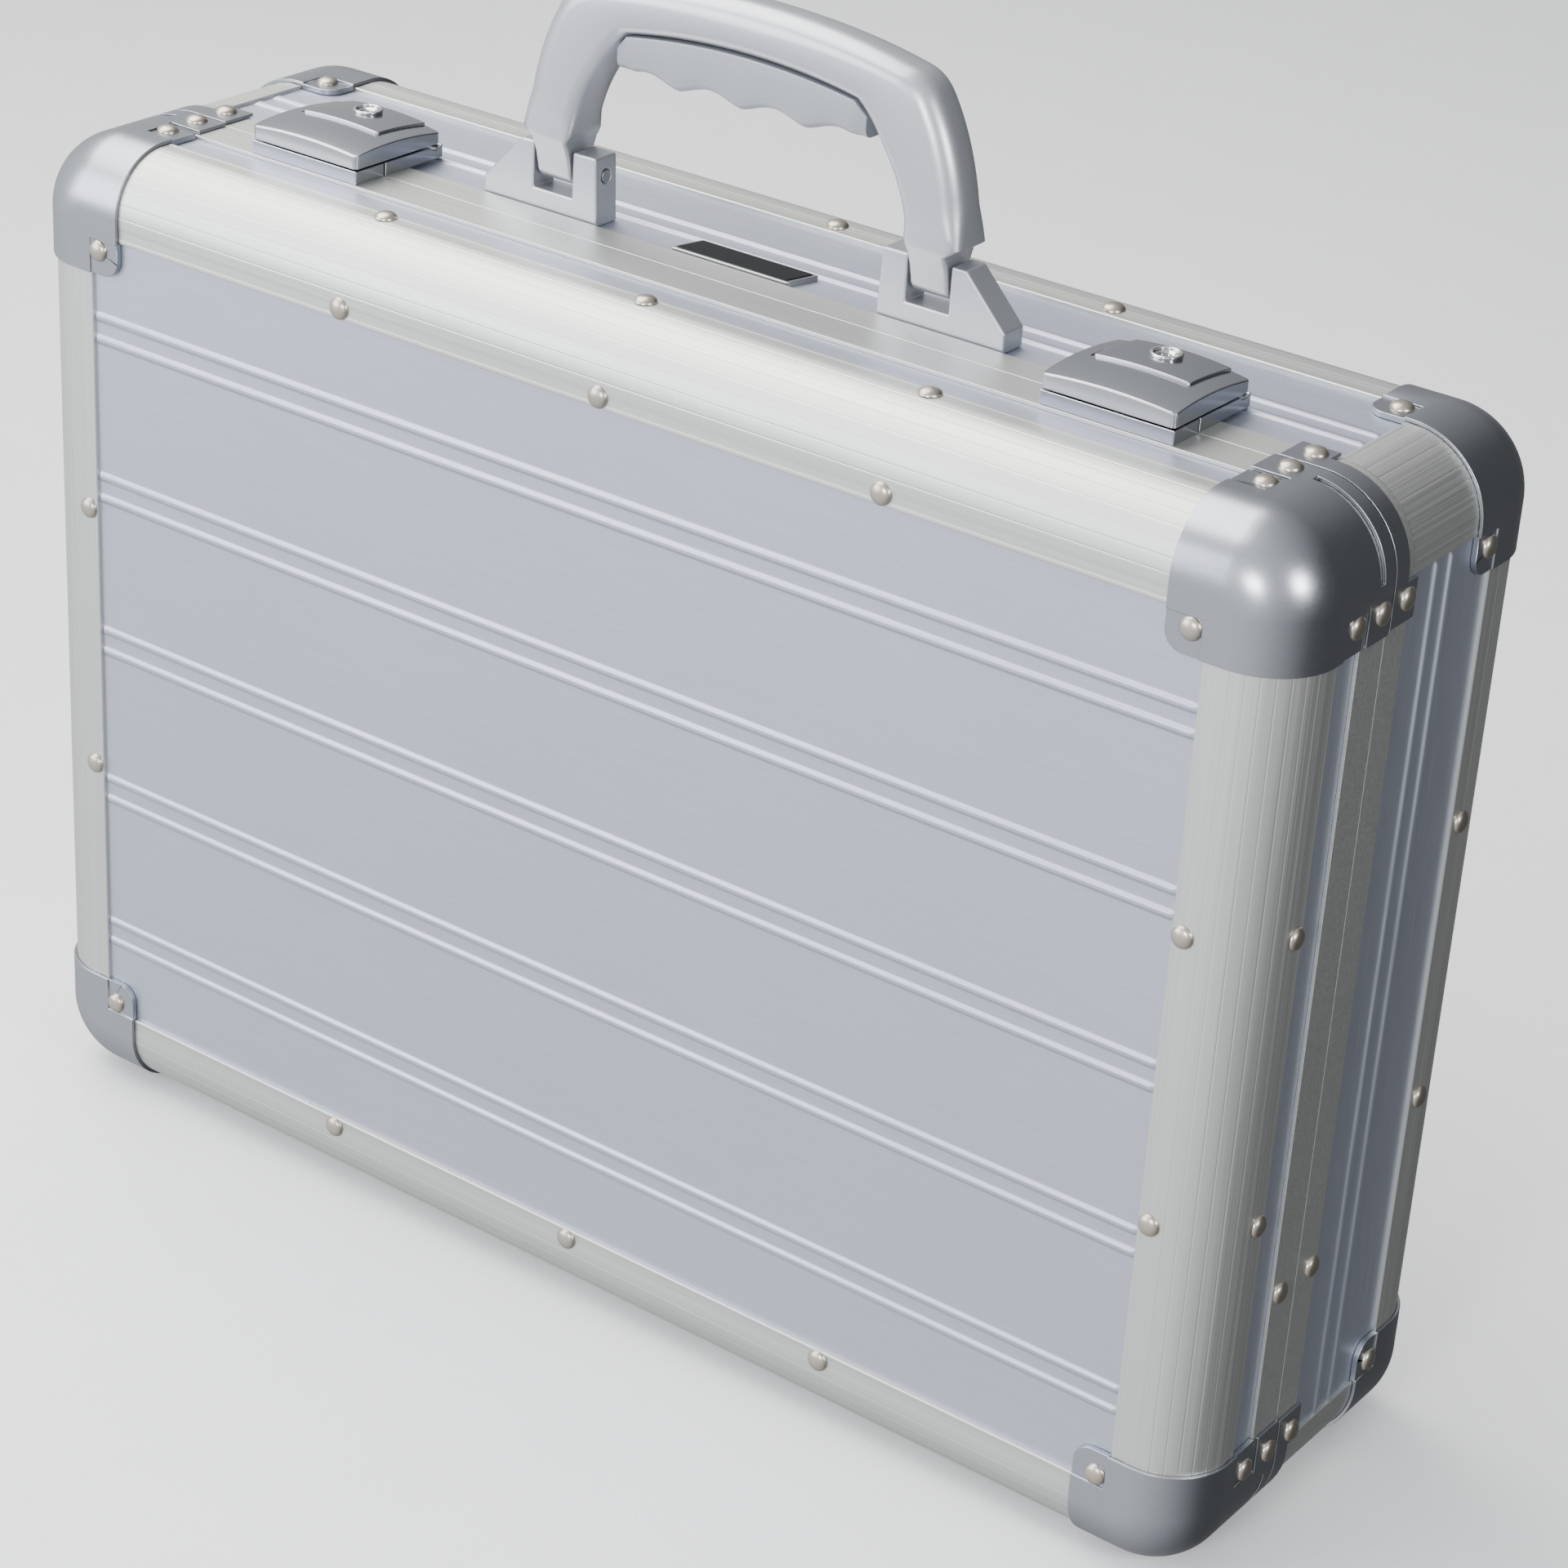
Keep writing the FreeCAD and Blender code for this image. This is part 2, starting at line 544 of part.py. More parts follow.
def add_rivets(shell):
    face, depth = face_frame(shell), DEPTH[shell]
    grip, tab_seat = lip + skin + board, tab_drop - proud
    for v in (face_rivet_in, height - face_rivet_in):
        for u in (-row_pitch, as_length(0), row_pitch):
            rivet(shell, face, u, v, as_length(0), grip)
    for u in (face_rivet_in - width / 2, width / 2 - face_rivet_in):
        for v in (height / 2 - column_pitch / 2, height / 2 + column_pitch / 2):
            rivet(shell, face, u, v, as_length(0), grip)
    for u in (tab_rivet_in - width / 2, width / 2 - tab_rivet_in):
        for v in (tab_rivet_in, height - tab_rivet_in):
            rivet(shell, face, u, v, tab_seat, grip)
    for wall, (_, _, length) in WALLS.items():
        frame = wall_frame(shell, wall)
        along = (-row_pitch, as_length(0), row_pitch) if length is width else (
            -column_pitch / 2, column_pitch / 2)
        for u in along:
            rivet(shell, frame, u, lid_rivet_in if shell == "lid" else base_rivet_in, as_length(0), grip)
        for u in (tab_rivet_in - length / 2, length / 2 - tab_rivet_in):
            if shell == "lid":
                rivet(shell, frame, u, depth - lid_tab_rivet, tab_seat, grip)
                rivet(shell, frame, u, depth - band_rivet, -proud, grip)
            else:
                rivet(shell, frame, u, tab_rivet_in + 1, tab_seat, grip)
                rivet(shell, frame, u, depth - clamp_rivet, -proud, grip)
    sub_part(f"{shell}_rivets", group(f"{shell}_rivet_set", *rivets[shell]))
    for side in ("left", "right"):
        x = 0 if side == "left" else width
        frame = corner_frame("lid", "left", "bottom")
        y = lid_depth - stay_rivet_out if shell == "lid" else lid_depth + stay_rivet_out
        start = (x - over if side == "left" else x - opening_in - over, y, stay_rivet_rise)
        stay_holes[shell].append(rod("stay_hole", frame, start, "u", stay_pivot + rivet_play,
                                     opening_in + 2 * over))
    drills[shell] = group(f"{shell}_drills", *drills[shell], *stay_holes[shell])


def drilled(label, shell, thing):
    """Register a piece once the shell's rivet holes are cut in it."""
    return sub_part(label, cut(label + "_drilled", thing, drills[shell]))


# ---- Panels, boards and lining --------------------------------------------------------------------
def rib(place):
    """Corners of a rolled rib, in the order of growing v."""
    base, crown = (lip, lip - rib_rise)
    half, tip = rib_foot / 2, rib_crown / 2
    return [(place - half, base), (place - tip, crown), (place + tip, crown), (place + half, base)]


def ribbed_sheet(name, frame, v0, v1, places, reach, rib_reach):
    """A flat sheet, whose ribs stop short of the lips that cover its ends."""
    flat = box(name, frame, (-reach, reach), (v0, v1), (lip, lip + skin))
    if not places:
        return flat
    corners = [(v0, lip)]
    for place in places:
        corners += rib(place)
    corners += [(v1, lip), (v1, lip + skin), (v0, lip + skin)]
    return fuse(name + "_ribbed", flat, profile(name + "_ribs", frame, corners, (-rib_reach, rib_reach)))


def add_panels(shell):
    depth, web = DEPTH[shell], WEB[shell]
    start, end = edge_radius + end_gap, depth - web - seam_gap
    face = face_frame(shell)
    half = width / 2 - start
    places = []
    for i in range(rib_pairs):
        pair = height / 2 + rib_pitch * (i - (rib_pairs - 1) / 2)
        places += [pair - rib_space / 2, pair + rib_space / 2]
    name = "front_panel" if shell == "lid" else "back_panel"
    rib_half = width / 2 - face_lip - end_gap
    drilled(name, shell, ribbed_sheet(name + "_sheet", face, start, height - start, places, half, rib_half))
    skins, boards = [], []
    face_spans = (-half, half), (start, height - start), (lip + skin, lining_in)
    boards.append(box(f"{shell}_face_board", face, *face_spans))
    ribs = [] if shell == "lid" else [depth - side_rib_far, depth - side_rib_near]
    for wall, (_, _, length) in WALLS.items():
        frame = wall_frame(shell, wall)
        reach = length / 2 - corner_radius - end_gap
        rib_reach = length / 2 - corner_lip - end_gap
        skins.append(ribbed_sheet(f"{shell}_{wall}_skin", frame, start, end, ribs, reach, rib_reach))
        spans = (-reach, reach), (start, end), (lip + skin, lining_in)
        boards.append(box(f"{shell}_{wall}_board", frame, *spans))
    drilled(f"{shell}_wall_skins", shell, group(f"{shell}_skin_set", *skins))
    drilled(f"{shell}_boards", shell, group(f"{shell}_board_set", *boards))
    outside = shell_block(f"{shell}_lining_out", shell, lining_in, lining_in, end, edge_radius - lining_in)
    inside = shell_block(f"{shell}_lining_in", shell, wall_in, wall_in, end + over, edge_radius - wall_in)
    sub_part(f"{shell}_lining", cut(f"{shell}_lining_tray", outside, inside, *stay_holes[shell]))


# ---- Edge extrusions ------------------------------------------------------------------------------
def edge_section(radius, reach_v, reach_w):
    """A quarter round with a flat lip at each end, and its arcs."""
    outer_arc = ((radius, radius), radius)
    inner_arc = ((radius, radius), radius - lip)
    corners = [(reach_v, as_length(0)), (radius, as_length(0)), (as_length(0), radius),
               (as_length(0), reach_w), (lip, reach_w), (lip, radius), (radius, lip), (reach_v, lip)]
    return corners, {1: outer_arc, 5: inner_arc}


def add_extrusions(shell):
    corners, arcs = edge_section(edge_radius, SIDE_LIP[shell], face_lip)
    names = "lid_{}_extrusion" if shell == "lid" else "back_{}_extrusion"
    for wall, (_, _, length) in WALLS.items():
        reach = length / 2 - face_lip - end_gap
        label = names.format(wall)
        piece = profile(label + "_length", wall_frame(shell, wall), corners, (-reach, reach), arcs)
        drilled(label, shell, piece)


def add_corner_extrusions():
    corners, arcs = edge_section(corner_radius, corner_lip, corner_lip)
    along = base_side_lip + end_gap, base_depth - base_flange - end_gap
    pieces = []
    for side, end in CORNERS:
        frame = corner_frame("base", side, end)
        turned = Frame(frame.origin, frame.axes[2], frame.axes[0])
        pieces.append(profile(f"corner_{side}_{end}", turned, corners, along, arcs))
    drilled("base_corner_extrusions", "base", group("corner_extrusion_set", *pieces))


# ---- Rims -----------------------------------------------------------------------------------------
def relief():
    """The strip along the parting line that stays free for the hinge."""
    across = width / 2 + 2 * proud
    return box("relief", WORLD, (-across, across), (parting - hinge_relief, parting + hinge_relief),
               (stand - 5 * over, stand + knuckle_radius - axis_drop + 2 * end_gap))


def block_ring(name, shell, inset, wall, v0, v1):
    outside = shell_block(name + "_out", shell, inset, v0, v1)
    inside = shell_block(name + "_in", shell, inset + wall, v0 - over, v1 + over)
    return cut(name, outside, inside)


def add_rim(shell):
    depth, web = DEPTH[shell], WEB[shell]
    face = depth - parting_gap
    flange = block_ring(f"{shell}_flange", shell, as_length(0), lip, depth - FLANGE[shell], face)
    web_ring = block_ring(f"{shell}_web", shell, lip / 2, opening_in - lip / 2, depth - web, face)
    inner = block_ring(f"{shell}_inner", shell, wall_in, inner_wall, depth - inner_flange, face)
    pieces = [flange, web_ring, inner]
    if shell == "base":
        tongue = block_ring("tongue", shell, tongue_in, tongue_wall, depth - web / 2, depth + tongue_rise)
        across = width / 2
        low = box("tongue_stop", WORLD, (-across, across), (parting - 5 * over, parting + 5 * over),
                  (stand, stand + tongue_start))
        pieces.append(cut("tongue_cut", tongue, low))
        rim = cut("base_rim_relieved", fuse("base_rim_profile", *pieces), relief())
    else:
        groove = block_ring("groove", shell, tongue_in - tongue_play, tongue_wall + 2 * tongue_play,
                            face - tongue_rise - tongue_play, depth + over)
        rim = cut("lid_rim_relieved", fuse("lid_rim_profile", *pieces), groove, relief())
    drilled(f"{shell}_rim", shell, rim)


# ---- Corner caps ----------------------------------------------------------------------------------
def cap_block(name, frame, outset, reach, v_reach, tips=()):
    spans = (-outset, reach), (-outset, v_reach), (-outset, reach)
    return rounded_block(name, frame, *spans, ("u0", "w0"), corner=corner_radius + outset,
                         front=edge_radius + outset, tips=tips)


def add_cap(shell, side, end):
    """A pressed ball corner, whose tabs step down from the lips to the panels."""
    frame = corner_frame(shell, side, end)
    depth, side_lip = DEPTH[shell], SIDE_LIP[shell]
    lid = shell == "lid"
    v_reach = depth - 2 * parting_gap if lid else cap_reach
    tips = [("u1", "w1")] if lid else [("u1", "w1"), ("u1", "v1"), ("w1", "v1")]
    name = f"{shell}_{side}_{end}"
    outside = cap_block(name + "_outside", frame, proud, cap_reach, v_reach, (tips, tab_round))
    inside = cap_block(name + "_inside", frame, cap_seat, cap_reach + over, v_reach + over)
    tab_end = depth - lid_flange - end_gap if lid else v_reach + 2 * over
    far, out, step = cap_reach + 2, -2 * proud, end_gap / 2

    def tab_boxes(kind, start, low):
        """Boxes over the three tabs: beyond both lips, and from outside down to a level."""
        face_u, side_v = face_lip + start, side_lip + start
        corner_u = (face_lip if lid else corner_lip) + start
        return [box(kind, frame, (face_u, far), (out, low), (face_u, far)),
                box(kind, frame, (corner_u, far), (side_v, tab_end), (out, low)),
                box(kind, frame, (out, low), (side_v, tab_end), (corner_u, far))]

    stepped = cut(name + "_stepped", outside, *tab_boxes("drop", step + tab_drop, tab_drop - proud))
    hollow = cut(name + "_hollow", inside, *tab_boxes("fill", step, lip - cap_seat))
    cap = cut(name + "_cap", stepped, hollow)
    if lid:
        slit = (tab_end, tab_end + tab_slit)
        slot_v = (depth - cap_slot_place - cap_slot, depth - cap_slot_place)
        openings = [box("slit", frame, (face_lip, far), slit, (out, lip)),
                    box("slit", frame, (out, lip), slit, (face_lip, far)),
                    box("slot", frame, (out, cap_slot_reach), slot_v, (out, cap_slot_reach))]
        cap = cut(name + "_slotted", cap, *openings)
        if end == "bottom":
            cap = cut(name + "_relieved", cap, relief())
    label = f"lid_corner_{side}_{end}" if lid else f"back_corner_{side}_{end}"
    drilled(label, shell, cap)


def add_clamps():
    """Straps that wrap the base's corners along the parting line."""
    pieces = []
    for side, end in CORNERS:
        frame = corner_frame("base", side, end)
        near, far = base_depth - clamp_width, base_depth - 2 * parting_gap
        spans = (-proud, clamp_reach), (near, far), (-proud, clamp_reach)
        strap = rounded_block("strap", frame, *spans, ("u0", "w0"), corner=corner_radius + proud)
        spans = (-cap_seat, clamp_reach + over), (near - over, far + over), (-cap_seat, clamp_reach + over)
        inside = rounded_block("strap_in", frame, *spans, ("u0", "w0"), corner=corner_radius + cap_seat)
        bend = (-2 * proud, corner_lip)
        neck = box("neck", frame, bend, (near - over, base_depth - clamp_neck), bend)
        tools = [inside, neck] + ([relief()] if end == "bottom" else [])
        pieces.append(cut(f"clamp_{side}_{end}", strap, *tools))
    drilled("base_corner_clamps", "base", group("clamp_set", *pieces))


# ---- Hinge and feet -------------------------------------------------------------------------------
def add_hinge():
    axis_z = stand - axis_drop
    pitch = hinge_length / hinge_knuckles
    sides = {"lid": (opposite(Y), 0), "base": (Y, 1)}
    wire = rod("hinge_wire", WORLD, (-hinge_length / 2, parting, axis_z), "u", hinge_pin_radius, hinge_length)
    sub_part("hinge_pin", wire)
    for shell, (outwards, odd) in sides.items():
        frame = Frame((0, parting, stand), outwards, opposite(Z))
        pieces = [box(f"{shell}_leaf_plate", frame, (-hinge_length / 2, hinge_length / 2),
                      (knuckle_radius + 2 * knuckle_gap, leaf_width), (0, leaf))]
        for i in range(odd, hinge_knuckles, 2):
            start = pitch * (i - hinge_knuckles / 2) + knuckle_gap / 2
            length = pitch - knuckle_gap
            pieces.append(rod("knuckle", WORLD, (start, parting, axis_z), "u", knuckle_radius, length))
            along = (start, start + length) if frame.axes[0] == X else (-start - length, -start)
            neck_span = hinge_pin_radius + pin_play + knuckle_gap, knuckle_radius + 3 * knuckle_gap
            pieces.append(box("knuckle_neck", frame, along, neck_span, (0, leaf)))
        bore = rod("hinge_bore", WORLD, (-hinge_length / 2 - 1, parting, axis_z), "u",
                   hinge_pin_radius + pin_play, hinge_length + 2 * over)
        sub_part(f"hinge_{shell}_leaf", cut(f"hinge_{shell}_cut", fuse(f"hinge_{shell}_set", *pieces), bore))


def add_feet():
    for shell, radius, place in (("lid", lid_foot_radius, parting - lid_foot_place),
                                 ("base", base_foot_radius, parting + base_foot_place)):
        feet = [rod(f"{shell}_foot", WORLD, (x, place, 0), "w", radius, stand + lip)
                for x in (-foot_spread, foot_spread)]
        sub_part(f"{shell}_feet", group(f"{shell}_foot_set", *feet))


# ---- Handle ---------------------------------------------------------------------------------------
handle_y = bracket_place + bracket_depth / 2


def add_handle():
    inner = bracket_centre - bracket_length / 2
    outer = bracket_centre + bracket_length / 2
    slot_in = inner + inner_ear
    slot_out = slot_in + slot_width
    section = [(-lip, inner), (-lip, outer), (toe_rise, outer), (ear_rise, slot_out + ear_top),
               (ear_rise, slot_out), (slot_floor, slot_out), (slot_floor, slot_in),
               (ear_rise, slot_in), (ear_rise, inner + ear_lean)]
    block = profile("bracket_block", ALONG_Y, section, (bracket_place, bracket_place + bracket_depth))
    bore_start = inner - over
    bore = rod("bracket_bore", DECK, (bore_start, handle_y, handle_pin_rise), "u",
               handle_pin_radius + pin_play, slot_out + ear_top - bore_start)
    right = sub_part("handle_bracket_right", cut("bracket_bored", block, bore))
    sub_part("handle_bracket_left", mirrored("bracket_mirrored", right))
    pin = rod("handle_pin", DECK, (inner + pin_recess, handle_y, handle_pin_rise), "u", handle_pin_radius,
              slot_out + ear_top - inner - 2 * pin_recess)
    sub_part("handle_pins", group("handle_pin_set", pin, mirrored("handle_pin_mirrored", pin)))

    tongue_lo, tongue_hi = slot_in + tongue_gap, slot_out - tongue_gap
    tongue_end, shoulder = slot_floor + tongue_gap, ear_rise + ear_gap
    half = [(grip_top, grip_half), (grip_low, grip_end), (leg_rise, handle_inside), (shoulder, tongue_lo),
            (tongue_end + tongue_chamfer, tongue_lo), (tongue_end, tongue_lo + tongue_chamfer),
            (tongue_end, tongue_hi - tongue_chamfer), (tongue_end + tongue_chamfer, tongue_hi),
            (shoulder, tongue_hi), (leg_rise, handle_foot), (handle_shoulder_rise, handle_shoulder)]
    other = [(z, -x) for z, x in reversed(half)]
    section = half + other
    count = len(half)
    crown = bow_radius(handle_shoulder, handle_rise - handle_shoulder_rise)
    hollow = bow_radius(grip_half, grip_crown - grip_top)
    arcs = {
        count - 2: arc_centre(section[count - 2], section[count - 1], leg_bow, 1),
        count - 1: ((handle_rise - crown, as_length(0)), crown),
        count: arc_centre(section[count], section[count + 1], leg_bow, 1),
        2 * count - 1: ((grip_crown - hollow, as_length(0)), hollow),
    }
    deep = (handle_y - handle_depth / 2, handle_y + handle_depth / 2)
    arch = profile("handle_arch", ALONG_Y, section, deep, arcs)
    tools = []
    tongue_radius = bracket_depth / 2
    for x in (slot_in, -slot_out):
        across = (x, x + slot_width)
        around = box("tongue_room", DECK, across, (0, 2 * handle_y), (0, shoulder))
        round_end = rod("tongue_round", DECK, (x, handle_y, handle_pin_rise), "u", tongue_radius, slot_width)
        flat = box("tongue_flat", DECK, across, (handle_y - tongue_radius, handle_y + tongue_radius),
                   (handle_pin_rise, shoulder + over))
        tools.append(cut("tongue_shape", around, fuse("tongue_kept", round_end, flat)))
        tools.append(rod("tongue_bore", DECK, (x, handle_y, handle_pin_rise), "u",
                         handle_pin_radius + pin_play, slot_width))
    sub_part("handle_shell", cut("handle_bored", arch, *tools))

    low_end = finger_pitch * fingers / 2
    points = [(grip_low, low_end + grip_flat)] + [
        (finger_point if 0 < i < fingers else grip_low, low_end - finger_pitch * i)
        for i in range(fingers + 1)] + [(grip_low, -low_end - grip_flat)]
    upper = [(grip_top - grip_gap, -grip_half), (grip_top - grip_gap, grip_half)]
    section = points + upper
    radius = bow_radius(finger_pitch / 2, finger_hollow)
    arcs = {i: arc_centre(section[i], section[i + 1], radius, -1) for i in range(1, fingers + 1)}
    arcs[len(section) - 2] = ((grip_crown - grip_gap - hollow, as_length(0)), hollow)
    sub_part("handle_grip", profile("grip_insert", ALONG_Y, section,
                                    (deep[0] + grip_inset, deep[1] - grip_inset), arcs))


def add_name_plate():
    """A blank plate with slanted ends."""
    half, y0 = plate_length / 2, bracket_place
    flat = Frame((0, parting + y0, top - lip), X, Y)
    section = [(-half, as_length(0)), (half - plate_slant, as_length(0)), (half, plate_width),
               (plate_slant - half, plate_width)]
    sub_part("name_plate", profile("name_plate_blank", flat, section, (0, plate_thick)))


# ---- Latches --------------------------------------------------------------------------------------
def add_latch(side, centre):
    def span(half):
        return centre - half, centre + half

    def across(name, half, radius):
        return rod(name, DECK, (centre - half, latch_pin_place, latch_pin_rise), "u", radius, 2 * half)

    gap = 2 * parting_gap
    strike = cut("strike",
                 box("strike_block", DECK, span(latch_half), (-latch_front, -gap), (0, plate_rise)),
                 box("notch", DECK, span(hook_half + notch_side), (-notch_front, 0),
                     (notch_floor, plate_rise + over)))
    ground = box("latch_block", DECK, span(latch_half), (gap, latch_back), (0, plate_rise))
    lugs, rooms = [], []
    for start in (centre - lug_inside - lug_width, centre + lug_inside):
        sides = (latch_pin_place - lug_radius, latch_pin_place + lug_radius)
        lugs.append(rod("lug_top", DECK, (start, latch_pin_place, latch_pin_rise), "u",
                        lug_radius, lug_width))
        lugs.append(box("lug", DECK, (start, start + lug_width), sides, (notch_floor, latch_pin_rise)))
        rooms.append(box("lug_room", DECK, (start - lug_gap, start + lug_width + lug_gap),
                         (sides[0] - lug_gap, latch_back + over), (0, latch_pin_rise + lug_radius + lug_gap)))
    hollow = across("turning_hollow", latch_half + over, relief_radius)
    bore = across("latch_bore", latch_half + over, latch_pin_radius + pin_play)
    ground = cut("latch_base", cut("latch_hollowed", ground, hollow), bore)
    ground = cut("latch_plate", fuse("latch_lugged", ground, *lugs), bore)
    pin = across("latch_pin", latch_half - latch_pin_end, latch_pin_radius)

    floor = plate_rise + lever_gap
    crown = bow_radius(latch_half, lever_crown - lever_side)
    section = [(floor, latch_half), (lever_side, latch_half), (lever_side, -latch_half), (floor, -latch_half)]
    arcs = {1: ((lever_crown - crown, as_length(0)), crown)}
    shifted = Frame((centre, parting, top), Z, X)
    cover = profile(f"lever_{side}_cover", shifted, section, (-latch_front, latch_pin_place), arcs)
    barrel = across("lever_barrel", latch_half, barrel_radius)
    seat = box("key_seat", DECK, span(key_half + key_play), (key_front - key_play, key_back + over),
               (key_floor, lever_crown + over))
    eye = rod("key_eye", DECK, (centre, lock_place, 0), "w", lock_radius + pin_play, key_top + over)
    lever = cut(f"lever_{side}_cut", fuse(f"lever_{side}_set", cover, barrel), seat, eye, bore, *rooms)
    plate = box(f"key_{side}_block", DECK, span(key_half), (key_front, key_back), (key_floor, key_top))
    lock = rod("lock_body", DECK, (centre, lock_place, lock_foot), "w", lock_radius, lock_top - lock_foot)
    slot = box("keyway", DECK, span(keyway / 2), (lock_place - keyway_half, lock_place + keyway_half),
               (lock_top - keyway_deep, lock_top + over))
    hook = box(f"hook_{side}_block", DECK, span(hook_half), (-hook_front, -hook_back), (hook_foot, floor))
    sub_part(f"latch_lever_{side}", lever)
    sub_part(f"latch_key_plate_{side}", cut(f"key_{side}_plate", plate, eye))
    sub_part(f"latch_lock_{side}", cut(f"lock_{side}", lock, slot))
    sub_part(f"latch_hook_{side}", hook)
    return strike, ground, pin


def add_latches():
    sets = list(zip(*(add_latch(side, centre) for side, centre in
                      (("left", -latch_centre), ("right", latch_centre)))))
    for label, pieces in zip(("latch_strike_plates", "latch_base_plates", "latch_pins"), sets):
        sub_part(label, group(label + "_set", *pieces))


# ---- Folding stays --------------------------------------------------------------------------------
def add_stays():
    """Each stay is a rhombus of the two bars, the wall rivets and the hinge axis."""
    rise = stay_rivet_rise + axis_drop
    reach = Length(math.hypot(stay_rivet_out.value, rise.value),
                   f"sqrt({stay_rivet_out.text} ^ 2 + ({rise.text}) ^ 2)")
    lean = f"atan({stay_rivet_out.text} / ({rise.text}))"
    wall_z, knee_z = stand + stay_rivet_rise, stand - axis_drop + 2 * rise
    layer = opening_in + stay_gap
    bore = stay_pivot + pin_play
    zero = as_length(0)
    bars, knees, wall_rivets = {"base": [], "lid": []}, [], {"base": [], "lid": []}
    for side in (-1, 1):
        for shell, tilt, number in (("base", 1, 0), ("lid", -1, 1)):
            depth_in = layer + number * (stay_bar + stay_gap)
            section = [(stay_half, zero), (stay_half, reach), (zero, reach + stay_half),
                       (-stay_half, reach), (-stay_half, zero), (zero, -stay_half)]
            arcs = {i: ((zero, reach if i < 3 else zero), stay_half) for i in (1, 2, 4, 5)}
            holes = [((zero, zero), bore), ((zero, reach), bore)]
            x = width / 2 - depth_in - stay_bar if side > 0 else depth_in - width / 2
            y = parting + stay_rivet_out if shell == "base" else parting - stay_rivet_out
            bar = round_bar(f"{shell}_bar", section, arcs, holes)
            put(bar, WORLD, (x, y, wall_z))
            bar.Placement.Rotation = Rotation(Vector(1, 0, 0), tilt)
            bar.setExpression("Placement.Rotation.Angle", lean)
            bar.setExpression("Placement.Rotation.Axis.x", str(tilt))
            bars[shell].append(bar)
            wall_rivets[shell].append(stay_rivet(side, y, wall_z, depth_in))
        knees.append(knee_rivet(side, knee_z, layer))
    for shell in bars:
        sub_part(f"stay_{shell}_bars", group(f"{shell}_bar_set", *bars[shell]))
        sub_part(f"stay_{shell}_rivets", group(f"{shell}_stay_rivet_set", *wall_rivets[shell]))
    sub_part("stay_knee_rivets", group("knee_rivet_set", *knees))


def round_bar(name, section, arcs, holes):
    """A flat bar with round ends, whose thickness runs along X."""
    body, sketch = start_sketch(name, "YZ_Plane")
    outline(sketch, section, arcs)
    for centre, radius in holes:
        ring(sketch, centre, radius)
    pad = body.newObject("PartDesign::Pad", name + "_pad")
    pad.Profile = sketch
    bind(pad, Length=stay_bar)
    return body


def stay_rivet(side, y, z, depth_in):
    """A wall rivet: domed head outside, shank through the wall, and a flat head inside the bar."""
    outside = width / 2
    inner = depth_in + stay_bar + stay_gap / 2
    frame = Frame((side * outside if side > 0 else -outside, y, z), Y, X if side < 0 else opposite(X))
    dome = doc.addObject("Part::Sphere", "stay_dome")
    bind(dome, Radius=dome_radius)
    dome.setExpression("Angle1", f"asin(({(dome_radius - rivet_rise).text}) / ({dome_radius.text}))")
    put(dome, frame, (0, 0, dome_radius - rivet_rise), Rotation(Vector(1, 0, 0), 180))
    shank = rod("stay_shank", frame, (0, 0, 0), "w", stay_pivot, inner)
    return fuse("stay_rivet", dome, shank)


def knee_rivet(side, z, layer):
    outside = width / 2
    frame = Frame((outside if side > 0 else -outside, parting, z), Y, X if side < 0 else opposite(X))
    long = 2 * stay_bar + stay_gap
    shank = rod("knee_shank", frame, (0, 0, layer - stay_gap / 2), "w", stay_pivot, long + stay_gap)
    return shank


def add_pocket():
    face = face_frame("lid")
    sub_part("document_pocket", box("pocket_pad", face, (-pocket_half, pocket_half),
                                    (pocket_low, pocket_high), (wall_in, wall_in + pocket_thick)))


for shell_name in ("lid", "base"):
    add_rivets(shell_name)
    add_panels(shell_name)
    add_extrusions(shell_name)
    add_rim(shell_name)
    for corner_side, corner_end in CORNERS:
        add_cap(shell_name, corner_side, corner_end)
add_corner_extrusions()
add_clamps()
add_hinge()
add_feet()
add_handle()
add_name_plate()
add_latches()
add_stays()
add_pocket()
doc.recompute()

for thing in doc.Objects:
    if "Invalid" in thing.State or "Error" in thing.State:
        raise RuntimeError(f"{thing.Label} failed: {thing.State}")
for label, thing in sub_parts.items():
    if thing.Shape.isNull() or not thing.Shape.isValid():
        raise RuntimeError(f"{label} has no valid shape")

os.makedirs("parts", exist_ok=True)
for label, thing in sub_parts.items():
    thing.Shape.exportStep(f"parts/{label}.step")
print(len(sub_parts), "sub-parts written")
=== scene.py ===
"""Looks for an aluminium attache case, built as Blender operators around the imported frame.

Lengths in the PropertyGroups are metres, shown in millimetres where the scene's units say so. Helper
functions take millimetres from MM. The case stands on Z = 0 with its lid towards -Y.
"""
import json
import math

import bmesh
import bpy
import numpy as np
from bpy.props import FloatProperty, FloatVectorProperty, PointerProperty, StringProperty
from mathutils import Matrix, Vector

